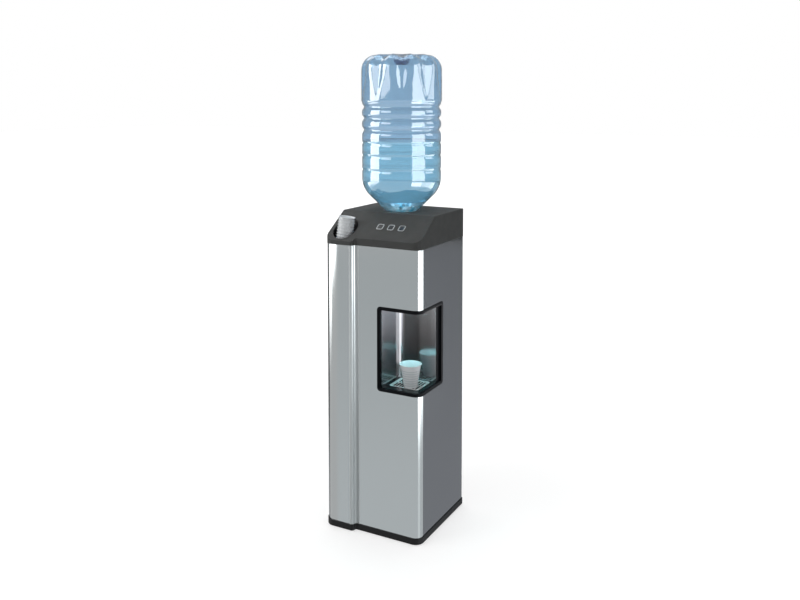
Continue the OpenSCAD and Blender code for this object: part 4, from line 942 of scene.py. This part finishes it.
def white_world(ambient):
    """A world that is white to the camera and in metal and glass, and softer as light on matt surfaces."""
    world = bpy.data.worlds.new("Studio")
    bpy.context.scene.world = world
    world.use_nodes = True
    graph = Graph(world.node_tree)
    path = graph.add("LightPath").outputs
    seen = graph.maths("MAXIMUM", graph.maths("MAXIMUM", path["Is Camera Ray"], path["Is Glossy Ray"]),
                       path["Is Transmission Ray"])
    back = world.node_tree.nodes["Background"]
    back.inputs["Color"].default_value = rgba(WHITE)
    graph.feed(back.inputs["Strength"], graph.spread(seen, ambient, 1.0))


def camera(settings):
    """The camera at the photograph's place, with its lens and vertical shift."""
    data = bpy.data.cameras.new("Camera")
    data.lens, data.sensor_width, data.shift_y = settings.lens, 36.0, settings.rise
    data.clip_end = 100.0
    eye = linked("Camera", data)
    eye.location = settings.place
    eye.rotation_euler = (math.pi / 2 - settings.pitch, 0.0, settings.heading)
    bpy.context.scene.camera = eye


# Operators

class Maker:
    """Runs an operator's own make on the scene."""

    def execute(self, context):
        self.make(context.scene)
        return {"FINISHED"}


class DISPENSER_OT_stage(Maker, Operator):
    """Make the camera, the pale floor and the studio light"""
    bl_idname = "dispenser.stage"
    bl_label = "Stage"

    def make(self, scene):
        settings = scene.dispenser_studio
        scene.view_settings.view_transform = "Standard"
        camera(settings)
        white_floor()
        white_world(settings.ambient)
        lamp("Key", (-1.9, -2.4, 2.9), (0, 0, 0.8), (1.6, 1.6), 34)
        lamp("Fill", (2.6, -1.2, 1.6), (0, 0, 0.8), (1.2, 2.0), 4)
        lamp("Overhead", (-0.3, 0.5, 3.6), (0, 0, 1.0), (1.8, 1.8), 52)
        for name, span, levels, colour, strengths, *more in ROUND_CARDS:
            round_card(name, *span, *levels, colour, strengths, *more)
        ceiling_card("Ceiling", (-1.6, 0.6, 3.1), (1.2, 1.2), WHITE, 2.2)
        ceiling_card("Sky_Dim", (0.0, 0.0, 3.25), (9.0, 9.0), COOL, 0.35)
        veils()


class DISPENSER_OT_cabinet(Maker, Operator):
    """Finish the cabinet, the cover, the niche and the base"""
    bl_idname = "dispenser.cabinet"
    bl_label = "Cabinet"

    def make(self, scene):
        dress(cabinet_finishes(scene.dispenser_cabinet))


class DISPENSER_OT_inside(Maker, Operator):
    """Finish the cooling unit, the tanks, the hoses and the rear"""
    bl_idname = "dispenser.inside"
    bl_label = "Inside"

    def make(self, scene):
        dress(inner_finishes())


class DISPENSER_OT_bottle(Maker, Operator):
    """Make the upturned bottle with its grooves, flutes and punt"""
    bl_idname = "dispenser.bottle"
    bl_label = "Bottle"

    def make(self, scene):
        settings = scene.dispenser_bottle
        grid = shell_points(settings)
        points = close_poles(grid)
        piece = build("Bottle_Wall", points, lathe_faces(*grid.shape[:2], False), bottle_plastic(settings),
                      "bottle_blue", "bottle", "bottle")
        middle = (BOTTLE_LOW + BOTTLE_HIGH) / 2
        off_axis = np.hypot(points[:, 0] - middle.x, points[:, 1] - middle.y)
        gauge = (1 - ease(off_axis, settings.punt_radius * 0.7, settings.punt_radius * 1.1))
        gauge *= points[:, 2] > middle.z
        paint(piece, "gauge", gauge)


class DISPENSER_OT_water(Maker, Operator):
    """Make the water that stands in the bottle"""
    bl_idname = "dispenser.water"
    bl_label = "Water"

    def make(self, scene):
        settings = scene.dispenser_bottle
        grid = water_points(settings)
        build("Bottle_Water", close_poles(grid), lathe_faces(*grid.shape[:2], False), bottle_water(settings),
              "bottle_blue", "bottle")


class DISPENSER_OT_cups(Maker, Operator):
    """Make the stack of cups in its tube, the top cup and the cup in the niche"""
    bl_idname = "dispenser.cups"
    bl_label = "Cups"

    def make(self, scene):
        settings = scene.dispenser_cups
        white = cup_plastic(settings)
        # Each cup carries per-point valley numbers: painted shade for its ribs' valleys
        small, shade = cup_points(settings.rim, settings.foot, settings.height, settings, settings.nest, 64)
        shade = np.append(shade, [0, 0])
        faces = lathe_faces(*small.shape[:2], True)
        closed = close_poles(small)
        top = build("Top_Cup_Wall", lean_in_tube(closed, 0, settings), faces, white, "cup_white", "top_cup",
                    "top_cup")
        paint(top, "valley", shade)
        stack = [lean_in_tube(closed, (i + 1) * settings.nest, settings) for i in range(settings.count)]
        many = [[corner + i * len(closed) for corner in face] for i in range(settings.count) for face in faces]
        column = build("Cup_Stack_Walls", np.concatenate(stack), many, white, "cup_white", "cup_column",
                       "cup_stack")
        paint(column, "valley", np.tile(shade, settings.count))
        large, shade = cup_points(settings.big_rim, settings.big_foot, settings.big_height, settings, 8 * MM, 96)
        middle = (LOOSE_LOW + LOOSE_HIGH) / 2
        large += [middle.x, middle.y, LOOSE_LOW.z]
        loose = build("Loose_Cup_Wall", close_poles(large), lathe_faces(*large.shape[:2], True), white,
                      "cup_white", "loose_cup", "loose_cup")
        paint(loose, "valley", np.append(shade, [0, 0]))


class DISPENSER_OT_spring(Maker, Operator):
    """Make the coil spring under the cup column"""
    bl_idname = "dispenser.spring"
    bl_label = "Cup spring"

    def make(self, scene):
        low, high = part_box("cup_spring")
        radius = (high.x - low.x) / 2 - SPRING_WIRE
        grid = coil_points(radius, SPRING_WIRE, low.z, high.z, SPRING_TURNS, (low + high) / 2)
        steel = bpy.data.objects["cup_spring"].data.materials[0]
        coil = build("Cup_Spring_Coil", close_poles(grid), lathe_faces(*grid.shape[:2], True), steel,
                     "spring_steel", "cup_column", "cup_spring")
        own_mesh(coil)


class DISPENSER_OT_marks(Maker, Operator):
    """Make the small drop outlines on the three buttons"""
    bl_idname = "dispenser.marks"
    bl_label = "Button marks"

    def make(self, scene):
        pale = moulded("mark_pale", (0.07, 0.075, 0.08), 0.4, grain=0.002, edge=0.05, dust=0.0)
        outward = -Vector(JOINTS["button_middle_press"]["axis"])
        up_slope = Vector((0, outward.z, -outward.y))
        for key, size in (("left", 2.6), ("middle", 3.1), ("right", 3.6)):
            flat, faces = ribbon(drop_mark(size * MM), 0.7 * MM, 0.15 * MM)
            corners = np.array([v.co for v in bpy.data.objects["button_" + key].data.vertices])
            reach = (corners @ np.array(outward)).max()
            top = corners[corners @ np.array(outward) > reach - 0.05 * MM]
            face = (top.min(0) + top.max(0)) / 2
            points = (face + flat[..., :1] * np.array([1.0, 0, 0]) + flat[..., 1:2] * np.array(up_slope)
                      + flat[..., 2:] * np.array(outward))
            build("Mark_" + key.capitalize(), points, faces, pale, "ring_pale", "button_" + key)


class DISPENSER_OT_niche_light(Maker, Operator):
    """Light the niche from its small lamp"""
    bl_idname = "dispenser.niche_light"
    bl_label = "Niche light"

    def make(self, scene):
        colour = scene.dispenser_studio.niche_glow
        middle = (LAMP_LOW + LAMP_HIGH) / 2
        below = (middle.x, middle.y + 60 * MM, LAMP_LOW.z - 2 * MM)
        cup = (LOOSE_LOW + LOOSE_HIGH) / 2
        light = lamp("Niche_Lamp", below, (cup.x, cup.y, LOOSE_HIGH.z), (0.075, 0.09), 0.4, colour)
        light.visible_glossy = True


class DISPENSER_PT_panel(Panel):
    """Lists the dispenser's pieces and their settings"""
    bl_idname = "DISPENSER_PT_panel"
    bl_label = "Dispenser"
    bl_space_type = "VIEW_3D"
    bl_region_type = "UI"
    bl_category = "Dispenser"

    def draw(self, context):
        for operator in OPERATORS:
            self.layout.operator(operator.bl_idname)
        for name in SETTINGS:
            box = self.layout.box()
            group = getattr(context.scene, name)
            for key in group.__annotations__:
                box.prop(group, key)


SETTINGS = {"dispenser_bottle": BottleSettings, "dispenser_cups": CupSettings,
            "dispenser_cabinet": CabinetSettings, "dispenser_studio": StudioSettings}
OPERATORS = (DISPENSER_OT_stage, DISPENSER_OT_cabinet, DISPENSER_OT_inside, DISPENSER_OT_bottle,
             DISPENSER_OT_water, DISPENSER_OT_cups, DISPENSER_OT_spring, DISPENSER_OT_marks,
             DISPENSER_OT_niche_light)


def register():
    for kind in (*SETTINGS.values(), *OPERATORS, DISPENSER_PT_panel):
        bpy.utils.register_class(kind)
    for name, kind in SETTINGS.items():
        setattr(bpy.types.Scene, name, PointerProperty(type=kind))


def unregister():
    for name in SETTINGS:
        delattr(bpy.types.Scene, name)
    for kind in (DISPENSER_PT_panel, *OPERATORS, *SETTINGS.values()):
        bpy.utils.unregister_class(kind)


def main():
    """Registers the add-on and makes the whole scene."""
    register()
    for operator in OPERATORS:
        group, name = operator.bl_idname.split(".")
        getattr(getattr(bpy.ops, group), name)()


if __name__ == "__main__":
    main()
